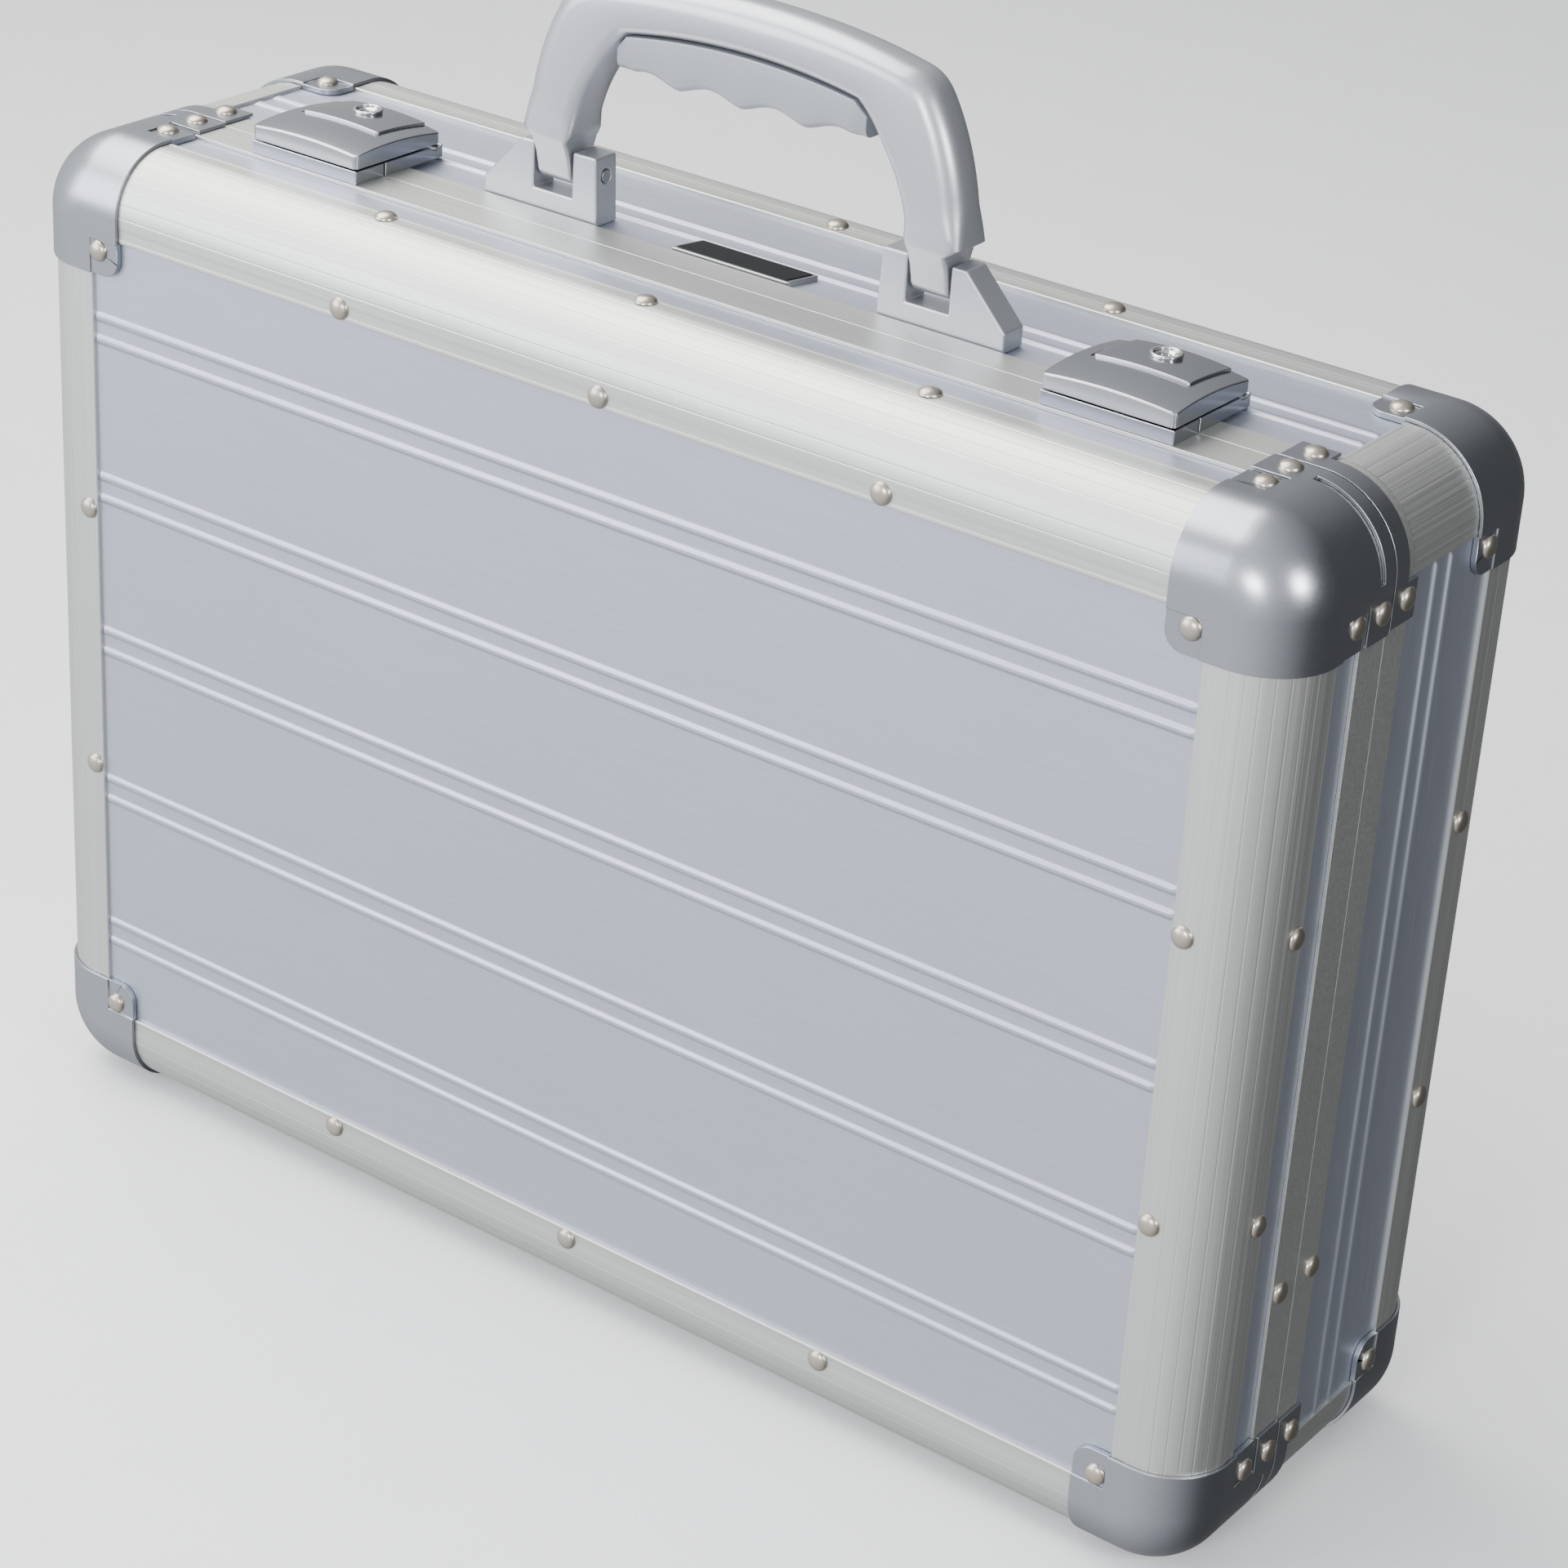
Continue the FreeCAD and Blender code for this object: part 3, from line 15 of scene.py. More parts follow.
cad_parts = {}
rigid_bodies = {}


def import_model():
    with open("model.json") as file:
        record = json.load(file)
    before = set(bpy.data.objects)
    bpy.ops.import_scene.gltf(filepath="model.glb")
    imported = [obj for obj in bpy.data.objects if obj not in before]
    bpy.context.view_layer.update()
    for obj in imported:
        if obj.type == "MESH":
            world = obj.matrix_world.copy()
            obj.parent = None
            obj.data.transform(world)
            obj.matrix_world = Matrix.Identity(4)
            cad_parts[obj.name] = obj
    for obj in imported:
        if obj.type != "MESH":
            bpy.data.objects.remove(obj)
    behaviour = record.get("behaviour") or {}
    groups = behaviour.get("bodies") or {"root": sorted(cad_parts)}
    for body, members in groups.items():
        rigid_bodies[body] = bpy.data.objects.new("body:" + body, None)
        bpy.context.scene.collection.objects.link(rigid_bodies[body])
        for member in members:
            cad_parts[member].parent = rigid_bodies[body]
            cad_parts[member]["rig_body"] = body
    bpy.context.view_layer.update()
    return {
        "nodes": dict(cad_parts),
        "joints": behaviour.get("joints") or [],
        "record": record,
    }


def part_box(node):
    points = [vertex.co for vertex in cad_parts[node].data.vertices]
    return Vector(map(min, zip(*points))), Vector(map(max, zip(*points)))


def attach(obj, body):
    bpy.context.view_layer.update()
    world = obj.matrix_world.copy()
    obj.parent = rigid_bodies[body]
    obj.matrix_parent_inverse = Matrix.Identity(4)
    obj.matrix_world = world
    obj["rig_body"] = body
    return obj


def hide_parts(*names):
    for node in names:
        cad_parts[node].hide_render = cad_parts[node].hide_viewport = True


bl_info = {
    "name": "Attache Case",
    "version": (1, 0, 0),
    "blender": (4, 5, 0),
    "location": "3D View > Sidebar > Case",
    "description": "Builds an aluminium attache case on its mechanical frame",
    "category": "Object",
}

MM = 0.001
SECTION_STEP = 0.14 * MM  # between the points of an extrusion's section
SHEET_STEP = 0.35 * MM  # between the points across a ribbed sheet
RIVET_ZONE = 4.5 * MM  # from a rivet's middle to past the edge of its head

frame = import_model()
PARTING = next(j["pos_m"][1] for j in frame["joints"] if j["name"] == "lid_hinge")
BODY_OF = {node: obj["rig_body"] for node, obj in frame["nodes"].items()}
SLOT_OF = {row["node"]: row["material_slot"] for row in frame["record"]["subparts"]}

# The planes of the case's outer walls, read from the extrusions that lie in them.
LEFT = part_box("lid_left_extrusion")[0].x
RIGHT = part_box("lid_right_extrusion")[1].x
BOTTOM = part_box("lid_bottom_extrusion")[0].z
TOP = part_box("lid_top_extrusion")[1].z
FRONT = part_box("lid_top_extrusion")[0].y
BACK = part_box("back_top_extrusion")[1].y
MIDDLE = (BOTTOM + TOP) / 2
INWARDS = {"top": (0, 0, -1), "bottom": (0, 0, 1), "left": (1, 0, 0), "right": (-1, 0, 0)}


# ---- Settings -------------------------------------------------------------------------------------
def length(name, millimetres, description):
    """A length property whose default is given in millimetres."""
    return FloatProperty(name=name, description=description, default=millimetres * MM, min=0.0,
                         unit="LENGTH", subtype="DISTANCE", precision=5)


def colour(name, code, description):
    """A colour property whose default is an sRGB hex code, kept as text so that it stays readable."""
    return StringProperty(name=name, description=description, default=code, maxlen=6)


class CaseShape(bpy.types.PropertyGroup):
    """Sizes of the details that the looks add to the frame."""

    edge_radius: length("Edge radius", 20, "Rounding of the front and back edges")
    corner_radius: length("Corner radius", 24, "Rounding of the corners seen from the front")
    corner_reach: length("Corner reach", 26, "Wall to the lip of a corner extrusion")
    wall: length("Extrusion wall", 1.2, "Wall of every extrusion")
    skin: length("Sheet", 0.8, "Thickness of the panel sheet")
    gap: length("Gap", 0.2, "Clearance where a sheet or an extrusion ends")
    line_pitch: length("Line pitch", 4.2, "Distance between the drawn lines of an extrusion")
    line_width: length("Line width", 0.5, "Width of a drawn line")
    line_depth: length("Line depth", 0.09, "Depth of a drawn line")
    bead: length("Lip bead", 1.1, "Width of the raised bead along a lip's edge")
    bead_slope: length("Bead slope", 0.5, "Width of the bead's inner flank")
    lip_round: length("Lip rounding", 0.35, "Width over which a lip's edge rounds off")
    lip_drop: length("Lip drop", 0.25, "Drop of the rounded edge")
    rib_foot: length("Rib foot", 3.4, "Width of a pressed rib at its foot")
    rib_crown: length("Rib crown", 1.0, "Width of its flat crown")
    rib_space: length("Rib spacing", 7.5, "Distance between the two ribs of a pair")
    rib_pitch: length("Rib pair pitch", 54.2, "Distance between pairs on the face panels")
    rib_end: length("Rib end", 1.5, "Length over which a rib's end is pressed down")
    wall_rib_rise: length("Wall rib rise", 0.9, "Height of the ribs on the base's walls")
    wall_rib_near: length("Near wall rib", 27, "Parting plane to the first rib of the base's walls")
    wall_rib_far: length("Far wall rib", 35.5, "Parting plane to the second rib")
    rivet_rise: length("Rivet rise", 1.9, "Height of a rivet's dome")
    rivet_seat: length("Rivet seat", 0.03, "How far a rivet's head sinks into the metal")
    shell_shank: length("Shell rivet shank", 1.6, "Radius of the shells' rivet shanks")
    stay_shank: length("Stay rivet shank", 2, "Radius of the stays' rivet shanks")
    bevel: length("Bevel", 0.35, "Broken edge of cast pieces and feet")
    cap_bevel: length("Cap bevel", 0.25, "Broken edge of the pressed corners")
    rim_bevel: length("Rim bevel", 0.2, "Broken edge of the rims")
    pin_bevel: length("Pin bevel", 0.12, "Broken edge of pins, stays and hinge leaves")
    stitch: length("Stitch", 3.2, "Length of one stitch of the organiser")
    stitch_pitch: length("Stitch pitch", 4.6, "Distance between stitches")


class CaseFinish(bpy.types.PropertyGroup):
    """Base colours as sRGB hex."""

    sheet: colour("Sheet", "BEC3D1", "Anodised aluminium sheet")
    extrusion: colour("Extrusion", "D2D4D1", "Drawn aluminium")
    corner: colour("Corners", "A4A8AF", "Satin nickel plated steel")
    rivet: colour("Rivets", "BDB5A9", "Nickel plated rivets")
    handle: colour("Handle", "B9BCC3", "Silver lacquer on cast zinc")
    grip: colour("Grip", "9A9EA5", "Moulded insert of the handle")
    latch: colour("Latches", "B0B3B9", "Satin chrome on cast zinc")
    chrome: colour("Lock", "DADADA", "Polished chrome")
    steel: colour("Steel", "B4B5B7", "Bare steel of pins and stays")
    cloth: colour("Lining", "34353A", "Woven lining")
    leather: colour("Organiser", "202024", "Fine grained leather")
    thread: colour("Thread", "6A6A70", "Sewing thread")
    rubber: colour("Feet", "1B1B1C", "Moulded rubber")
    plate: colour("Name plate", "0C0D10", "Dark gloss lacquer")
    board: colour("Board", "7A5D40", "Raw hardboard")
    paper: colour("Backdrop", "F4F5F6", "Matt paper")


class CaseStage(bpy.types.PropertyGroup):
    """Camera and lights."""

    aim: FloatVectorProperty(name="Aim", description="Point on the front plane that the camera looks at",
                             default=(0.07300, FRONT, 0.21390), subtype="XYZ", unit="LENGTH")
    distance: FloatProperty(name="Distance", description="From the aim to the camera", default=1.13235,
                            unit="LENGTH")
    azimuth: FloatProperty(name="Azimuth", description="Camera round Z from the front",
                           default=math.radians(35.293), subtype="ANGLE")
    elevation: FloatProperty(name="Elevation", description="Camera above the horizon",
                             default=math.radians(27.102), subtype="ANGLE")
    roll: FloatProperty(name="Roll", description="Camera about its own axis",
                        default=math.radians(3.624), subtype="ANGLE")
    lens: FloatProperty(name="Lens", description="Focal length on a 36 mm sensor", default=91.185,
                        unit="CAMERA")
    overhead: FloatProperty(name="Overhead", description="Power of the warm softbox above", default=36.0,
                            unit="POWER")
    front: FloatProperty(name="Front", description="Power of the cool softbox at the left", default=30.0,
                         unit="POWER")
    lamp: FloatProperty(name="Lamps", description="Power of each of the two small lamps", default=9.0,
                        unit="POWER")
    lamp_width: FloatProperty(name="Lamp width", description="Side of each small lamp", default=0.28,
                              unit="LENGTH")
    bright: FloatProperty(name="Bright side", description="World strength towards the left", default=1.35)
    dark: FloatProperty(name="Dark side", description="World strength towards the right", default=0.12)


# ---- Materials ------------------------------------------------------------------------------------
def linear(code):
    """Linear RGBA of an sRGB hex code."""
    parts = [int(code[i:i + 2], 16) / 255 for i in (0, 2, 4)]
    return [c / 12.92 if c <= 0.04045 else ((c + 0.055) / 1.055) ** 2.4 for c in parts] + [1.0]


def add_node(tree, kind, inputs=None, **settings):
    """A node with its settings, whose inputs are numbers or other nodes' outputs."""
    node = tree.nodes.new(kind)
    for key, value in settings.items():
        setattr(node, key, value)
    for socket, value in (inputs or {}).items():
        if isinstance(value, bpy.types.NodeSocket):
            tree.links.new(value, node.inputs[socket])
        else:
            node.inputs[socket].default_value = value
    return node


def new_material(name, **shader):
    """A material with a Principled shader; shader holds its sockets' constants by name."""
    made = bpy.data.materials.new(name)
    made.use_nodes = True
    surface = made.node_tree.nodes["Principled BSDF"]
    for socket, value in shader.items():
        surface.inputs[socket.replace("_", " ")].default_value = value
    return made, made.node_tree, surface


def grain(tree, stretch, detail=4.0):
    """Noise on Object coordinates; stretch gives the cells per metre along X, Y and Z."""
    place = add_node(tree, "ShaderNodeTexCoord")
    mapped = add_node(tree, "ShaderNodeMapping", {"Vector": place.outputs["Object"], "Scale": stretch})
    return add_node(tree, "ShaderNodeTexNoise", {"Vector": mapped.outputs["Vector"], "Scale": 1.0,
                                                 "Detail": detail, "Roughness": 0.55}).outputs["Fac"]


def ranged(tree, value, low, high, start=0.3, end=0.7):
    """A value between start and end spread from low to high."""
    return add_node(tree, "ShaderNodeMapRange", {"Value": value, "From Min": start, "From Max": end,
                                                 "To Min": low, "To Max": high}).outputs["Result"]


def tinted(tree, code, factor, amount):
    """A colour that darkens by amount where factor is 0."""
    base = linear(code)
    dark = [c * (1 - amount) for c in base[:3]] + [1.0]
    return add_node(tree, "ShaderNodeMix", {"Factor": factor, "A": dark, "B": base},
                    data_type="RGBA").outputs["Result"]


def bumped(tree, surface, height, distance):
    """Fine relief: the surface is bent as if it rose by distance, in metres, where height is 1."""
    bump = add_node(tree, "ShaderNodeBump", {"Height": height, "Distance": distance, "Strength": 1.0})
    tree.links.new(bump.outputs["Normal"], surface.inputs["Normal"])


def metal(name, code, roughness, spread, stretch, shade=0.06, relief=0.02, **shader):
    """A metal whose tint, roughness and relief (in millimetres) vary with one grain and a broad cloud."""
    made, tree, surface = new_material(name, Metallic=1.0, **shader)
    fine = grain(tree, stretch)
    cloud = grain(tree, (9.0, 9.0, 9.0), 2.0)
    mixed = add_node(tree, "ShaderNodeMath", {0: fine, 1: cloud}, operation="ADD").outputs["Value"]
    tree.links.new(tinted(tree, code, ranged(tree, mixed, 0.0, 1.0, 0.7, 1.3), shade),
                   surface.inputs["Base Color"])
    tree.links.new(ranged(tree, fine, roughness - spread, roughness + spread), surface.inputs["Roughness"])
    bumped(tree, surface, fine, relief * MM)
    return made


def rolled_sheet(name, code, along):
    """Anodised aluminium sheet: rolling leaves a dull grain along one axis, drawn 0.4 mm wide to show."""
    stretch = [2500.0, 2500.0, 2500.0]
    stretch[along] = 40.0
    return metal(name, code, 0.5, 0.04, stretch, shade=0.04, relief=0.006)


def drawn_metal(name, code, along):
    """Aluminium pulled through a die: long streaks about 0.6 mm wide run with the profile."""
    stretch = [1600.0, 1600.0, 1600.0]
    stretch[along] = 6.0
    return metal(name, code, 0.47, 0.05, stretch, shade=0.06, relief=0.006)


def satin_plate(name, code, roughness):
    """Nickel or chrome over blasted metal: even, with a fine 0.25 mm tooth and soft clouds."""
    return metal(name, code, roughness, 0.02, (1500.0, 1500.0, 1500.0), shade=0.05, relief=0.0015)


def lacquer(name, code, metallic=0.8, roughness=0.36):
    """Silver lacquer: 0.3 mm flakes sparkle a little under a thin clear coat."""
    made, tree, surface = new_material(name, Metallic=metallic, Coat_Weight=0.25, Coat_Roughness=0.22)
    flake = grain(tree, (3300.0, 3300.0, 3300.0), 1.0)
    tree.links.new(tinted(tree, code, ranged(tree, flake, 0.0, 1.0), 0.10), surface.inputs["Base Color"])
    tree.links.new(ranged(tree, flake, roughness + 0.05, roughness - 0.04), surface.inputs["Roughness"])
    bumped(tree, surface, flake, 0.008 * MM)
    return made


def moulded(name, code, roughness, tooth=0.5, ior=1.5):
    """Moulded plastic or rubber with a spark-eroded tooth, whose cell size is given in millimetres."""
    made, tree, surface = new_material(name, IOR=ior)
    cells = 1 / (tooth * MM)
    fine = grain(tree, (cells, cells, cells), 3.0)
    tree.links.new(tinted(tree, code, ranged(tree, fine, 0.0, 1.0), 0.12), surface.inputs["Base Color"])
    tree.links.new(ranged(tree, fine, roughness - 0.05, roughness + 0.05), surface.inputs["Roughness"])
    bumped(tree, surface, fine, 0.04 * MM)
    return made


def woven(name, code, pitch=0.9):
    """Plain weave: two crossed sets of threads at the given pitch in millimetres, on the piece's UV map."""
    made, tree, surface = new_material(name, Sheen_Weight=0.35, Sheen_Roughness=0.5, IOR=1.45,
                                       Roughness=0.85)
    place = add_node(tree, "ShaderNodeTexCoord")
    waves = []
    # A wave texture of scale 1 repeats every pi / 10 m, and one repeat covers two threads.
    wave_scale = math.pi / 20 / (pitch * MM)
    for axis in ("X", "Y"):
        wave = add_node(tree, "ShaderNodeTexWave",
                        {"Vector": place.outputs["UV"], "Scale": wave_scale, "Distortion": 0.6,
                         "Detail": 1.0}, bands_direction=axis)
        waves.append(wave.outputs["Fac"])
    both = add_node(tree, "ShaderNodeMath", {0: waves[0], 1: waves[1]}, operation="MAXIMUM").outputs[0]
    cloud = grain(tree, (60.0, 60.0, 60.0), 3.0)
    mixed = add_node(tree, "ShaderNodeMath", {0: both, 1: cloud}, operation="MULTIPLY").outputs[0]
    tree.links.new(tinted(tree, code, ranged(tree, mixed, 0.0, 1.0, 0.1, 0.6), 0.45),
                   surface.inputs["Base Color"])
    bumped(tree, surface, both, 0.15 * MM)
    return made


def leather(name, code):
    """Fine leather: 1.1 mm pebbles between creases, with a low waxy sheen."""
    made, tree, surface = new_material(name, IOR=1.48, Coat_Weight=0.1, Coat_Roughness=0.4)
    place = add_node(tree, "ShaderNodeTexCoord")
    pebble = add_node(tree, "ShaderNodeTexVoronoi",
                      {"Vector": place.outputs["Object"], "Scale": 1 / (1.1 * MM), "Randomness": 0.9},
                      feature="SMOOTH_F1").outputs["Distance"]
    tree.links.new(tinted(tree, code, ranged(tree, pebble, 1.0, 0.0, 0.1, 0.7), 0.4),
                   surface.inputs["Base Color"])
    tree.links.new(ranged(tree, pebble, 0.42, 0.62, 0.1, 0.7), surface.inputs["Roughness"])
    bumped(tree, surface, pebble, -0.12 * MM)
    return made


def matt(name, code):
    """Matt paper: even, with hardly any sheen."""
    made, tree, surface = new_material(name, IOR=1.4, Roughness=0.9, Specular_IOR_Level=0.2)
    fine = grain(tree, (30.0, 30.0, 30.0), 2.0)
    tree.links.new(tinted(tree, code, ranged(tree, fine, 0.0, 1.0), 0.02), surface.inputs["Base Color"])
    return made


def build_materials(finish):
    """All the materials of the case, by the name that the operators use."""
    made = {}
    for i, axis in enumerate("xyz"):
        made[f"sheet_{axis}"] = rolled_sheet(f"anodised_aluminium_sheet_{axis}", finish.sheet, i)
        made[f"drawn_{axis}"] = drawn_metal(f"drawn_aluminium_{axis}", finish.extrusion, i)
    made["corner"] = satin_plate("satin_nickel_steel", finish.corner, 0.3)
    made["rivet"] = satin_plate("nickel_rivet", finish.rivet, 0.33)
    made["handle"] = lacquer("silver_lacquered_zinc", finish.handle)
    made["grip"] = lacquer("silver_moulded_insert", finish.grip, 0.45, 0.46)
    made["latch"] = satin_plate("satin_chromed_zinc", finish.latch, 0.2)
    made["chrome"] = satin_plate("polished_chrome", finish.chrome, 0.08)
    made["steel"] = satin_plate("bare_steel", finish.steel, 0.3)
    made["cloth"] = woven("woven_lining", finish.cloth)
    made["leather"] = leather("fine_leather", finish.leather)
    made["thread"] = moulded("sewing_thread", finish.thread, 0.7)
    made["rubber"] = moulded("moulded_rubber", finish.rubber, 0.75, 0.8)
    made["plate"] = moulded("dark_gloss_lacquer", finish.plate, 0.16, 0.3, ior=1.2)
    made["board"] = moulded("raw_hardboard", finish.board, 0.85, 0.7)
    made["paper"] = matt("matt_paper", finish.paper)
    return made


# ---- Mesh helpers ---------------------------------------------------------------------------------
def loft_faces(stations, ring):
    """Quads between neighbouring stations, each a closed ring of points."""
    i, j = np.meshgrid(np.arange(stations - 1), np.arange(ring), indexing="ij")
    k = (j + 1) % ring
    quads = np.stack([i * ring + j, i * ring + k, (i + 1) * ring + k, (i + 1) * ring + j], -1)
    return quads.reshape(-1, 4).tolist()


def strip_caps(stations, ring):
    """Quads that close both end sections of a wall, whose inner line runs back along its outer one."""
    j = np.arange(ring // 2 - 1)
    first = np.stack([j, j + 1, ring - 2 - j, ring - 1 - j], -1)
    return np.concatenate([first, first + (stations - 1) * ring]).tolist()


def fan_caps(stations, ring):
    """One face on each end section."""
    return [list(range(ring)), list(range((stations - 1) * ring, stations * ring))]


def new_piece(name, points, faces, material, body, slot, stands_for=(), crease=32.0, uv_scale=None):
    """A piece from points in metres, with doubles merged, faces outwards and sharp edges by angle."""
    mesh = bpy.data.meshes.new(name)
    mesh.from_pydata(np.asarray(points, float).reshape(-1, 3).tolist(), [], faces)
    shell = bmesh.new()
    shell.from_mesh(mesh)
    bmesh.ops.remove_doubles(shell, verts=shell.verts, dist=1e-6)
    bmesh.ops.recalc_face_normals(shell, faces=shell.faces)
    if uv_scale:
        box_uv(shell)
    shell.to_mesh(mesh)
    shell.free()
    return placed(name, mesh, material, body, stands_for, crease)


def box_uv(shell):
    """A UV map in metres, projected along each face's main direction."""
    layer = shell.loops.layers.uv.new("metres")
    for face in shell.faces:
        main = max(range(3), key=lambda i: abs(face.normal[i]))
        a, b = [i for i in range(3) if i != main]
        for loop in face.loops:
            loop[layer].uv = (loop.vert.co[a], loop.vert.co[b])


def placed(name, mesh, material, body, stands_for=(), crease=32.0):
    """Puts a mesh in the scene, riding on its body."""
    mesh.shade_smooth()
    mesh.set_sharp_from_angle(angle=math.radians(crease))
    mesh.materials.clear()
    mesh.materials.append(material)
    piece = bpy.data.objects.new(name, mesh)
    bpy.context.scene.collection.objects.link(piece)
    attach(piece, body)
    if stands_for:
        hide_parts(*stands_for)
    return piece


def rivet_places():
    """The middles of all rivets of the shells, found once."""
    if not RIVETS:
        for node in ("lid_rivets", "base_rivets"):
            RIVETS.extend((part.min(0) + part.max(0)) / 2 for part in loose_parts(node))
    return np.array(RIVETS)


def under_rivet(edge, rivets):
    """Whether an edge belongs to a rivet's hole, which the rivet's head covers."""
    middle = np.array((edge.verts[0].co + edge.verts[1].co) / 2)
    return np.linalg.norm(rivets - middle, axis=1).min() < RIVET_ZONE


def finished_copy(node, material, bevel, crease=28.0):
    """A merged copy of a frame node with broken edges. Flat faces are joined up, so that the bevel runs
    only along real edges, and the edges under a rivet's head are left sharp."""
    mesh = bpy.data.meshes.new(node + "_finished")
    shell = bmesh.new()
    shell.from_mesh(frame["nodes"][node].data)
    bmesh.ops.remove_doubles(shell, verts=shell.verts, dist=2e-6)
    bmesh.ops.dissolve_limit(shell, angle_limit=math.radians(0.3), verts=shell.verts, edges=shell.edges)
    limit, rivets = math.radians(crease), rivet_places()
    weights = [edge.calc_face_angle(0.0) > limit and not under_rivet(edge, rivets) for edge in shell.edges]
    shell.to_mesh(mesh)
    shell.free()
    layer = mesh.attributes.new("bevel_weight_edge", "FLOAT", "EDGE")
    layer.data.foreach_set("value", np.array(weights, np.float32))
    piece = placed(node + "_finished", mesh, material, BODY_OF[node], (node,), crease)
    if bevel:
        cut = piece.modifiers.new("broken_edges", "BEVEL")
        cut.width = bevel
        cut.segments = 2
        cut.limit_method = "WEIGHT"
        cut.harden_normals = True
        cut.use_clamp_overlap = False


def rounded_outline(half_x, half_y, radius, per_corner=8):
    """Points (x, y) of a rounded rectangle about the origin: a quarter circle at each corner. The
    arguments may be arrays, one entry per ring."""
    half_x, half_y, radius = (np.atleast_1d(np.asarray(v, float))[:, None]
                              for v in (half_x, half_y, radius))
    angle = np.linspace(0, math.pi / 2, per_corner)
    quarter = np.concatenate([angle + k * math.pi / 2 for k in range(4)])
    sign_x = np.repeat([1, -1, -1, 1], per_corner)
    sign_y = np.repeat([1, 1, -1, -1], per_corner)
    x = sign_x * (half_x - radius) + radius * np.cos(quarter)
    y = sign_y * (half_y - radius) + radius * np.sin(quarter)
    return x, y


def pillow(name, centre, half_x, half_y, corner, floor, top, fillet, material, body, slot, **more):
    """A block with an outline of rounded corners, upright walls, a filleted upper edge and a top surface
    z = top(x, y). Rings of the outline climb the wall, turn over the fillet and shrink to the middle."""
    turn = np.linspace(0, math.pi / 2, 6)
    inset = np.concatenate([[0.0, 0.0], fillet * (1 - np.cos(turn)),
                            np.linspace(fillet, min(half_x, half_y) - 0.2 * MM, 9)[1:]])
    drop = np.concatenate([[0.0, fillet], fillet * (1 - np.sin(turn)), np.zeros(8)])
    radius = np.maximum(corner - inset, 0.05 * MM)
    x, y = rounded_outline(half_x - inset, half_y - inset, radius)
    z = top(x, y) - drop[:, None]
    z[0] = floor
    points = np.stack([x + centre[0], y + centre[1], z], -1)
    rings, ring = x.shape
    return new_piece(name, points, loft_faces(rings, ring) + fan_caps(rings, ring), material, body, slot,
                     **more)


def slab(name, centre, half_x, half_y, corner, floor, top, fillet, material, body, slot, pitch=0.5 * MM,
         **more):
    """A block whose top is a grid z = top(x, y), with rounded corners and a filleted upper edge.

    Grid lines crowd towards the outline. In each corner's square the grid is drawn in to a quarter
    circle: q goes to q max(q) / |q|. The outline's points drop to the floor, which is one face.
    """
    def lines(half):
        near = half - fillet * np.array([0.0, 0.03, 0.13, 0.3, 0.55, 1.0])
        inner = np.linspace(0, near[-1], max(int(near[-1] / pitch), 3))
        ahead = np.unique(np.round(np.concatenate([inner, near, [half - corner]]), 8))
        return np.concatenate([-ahead[:0:-1], ahead])

    x, y = np.meshgrid(lines(half_x), lines(half_y), indexing="ij")
    qx, qy = np.abs(x) - (half_x - corner), np.abs(y) - (half_y - corner)
    turning = (qx > 0) & (qy > 0)
    size = np.where(turning, np.hypot(qx, qy), 1)
    pull = np.where(turning, np.maximum(qx, qy) / size, 1)
    x = np.where(turning, np.sign(x) * (half_x - corner + qx * pull), x)
    y = np.where(turning, np.sign(y) * (half_y - corner + qy * pull), y)
    margin = np.where(turning, corner - np.maximum(qx, qy),
                      np.minimum(half_x - np.abs(x), half_y - np.abs(y)))
    short = np.clip(fillet - margin, 0, fillet)
    z = top(x, y) - fillet + np.sqrt(fillet ** 2 - short ** 2)
    rows, columns = x.shape
    grid = np.arange(rows * columns).reshape(rows, columns)
    quads = np.stack([grid[:-1, :-1], grid[1:, :-1], grid[1:, 1:], grid[:-1, 1:]], -1).reshape(-1, 4)
    border = np.concatenate([grid[:-1, 0], grid[-1, :-1], grid[:0:-1, -1], grid[0, :0:-1]])
    upper = np.stack([x, y, z], -1).reshape(-1, 3)
    lower = upper[border] * [1, 1, 0]
    points = np.concatenate([upper, lower]) + [*centre, 0]
    points[len(upper):, 2] = floor
    foot = len(upper) + np.arange(len(border))
    sides = np.stack([border, np.roll(border, -1), np.roll(foot, -1), foot], -1)
    return new_piece(name, points, quads.tolist() + sides.tolist() + [foot.tolist()], material, body, slot,
                     **more)


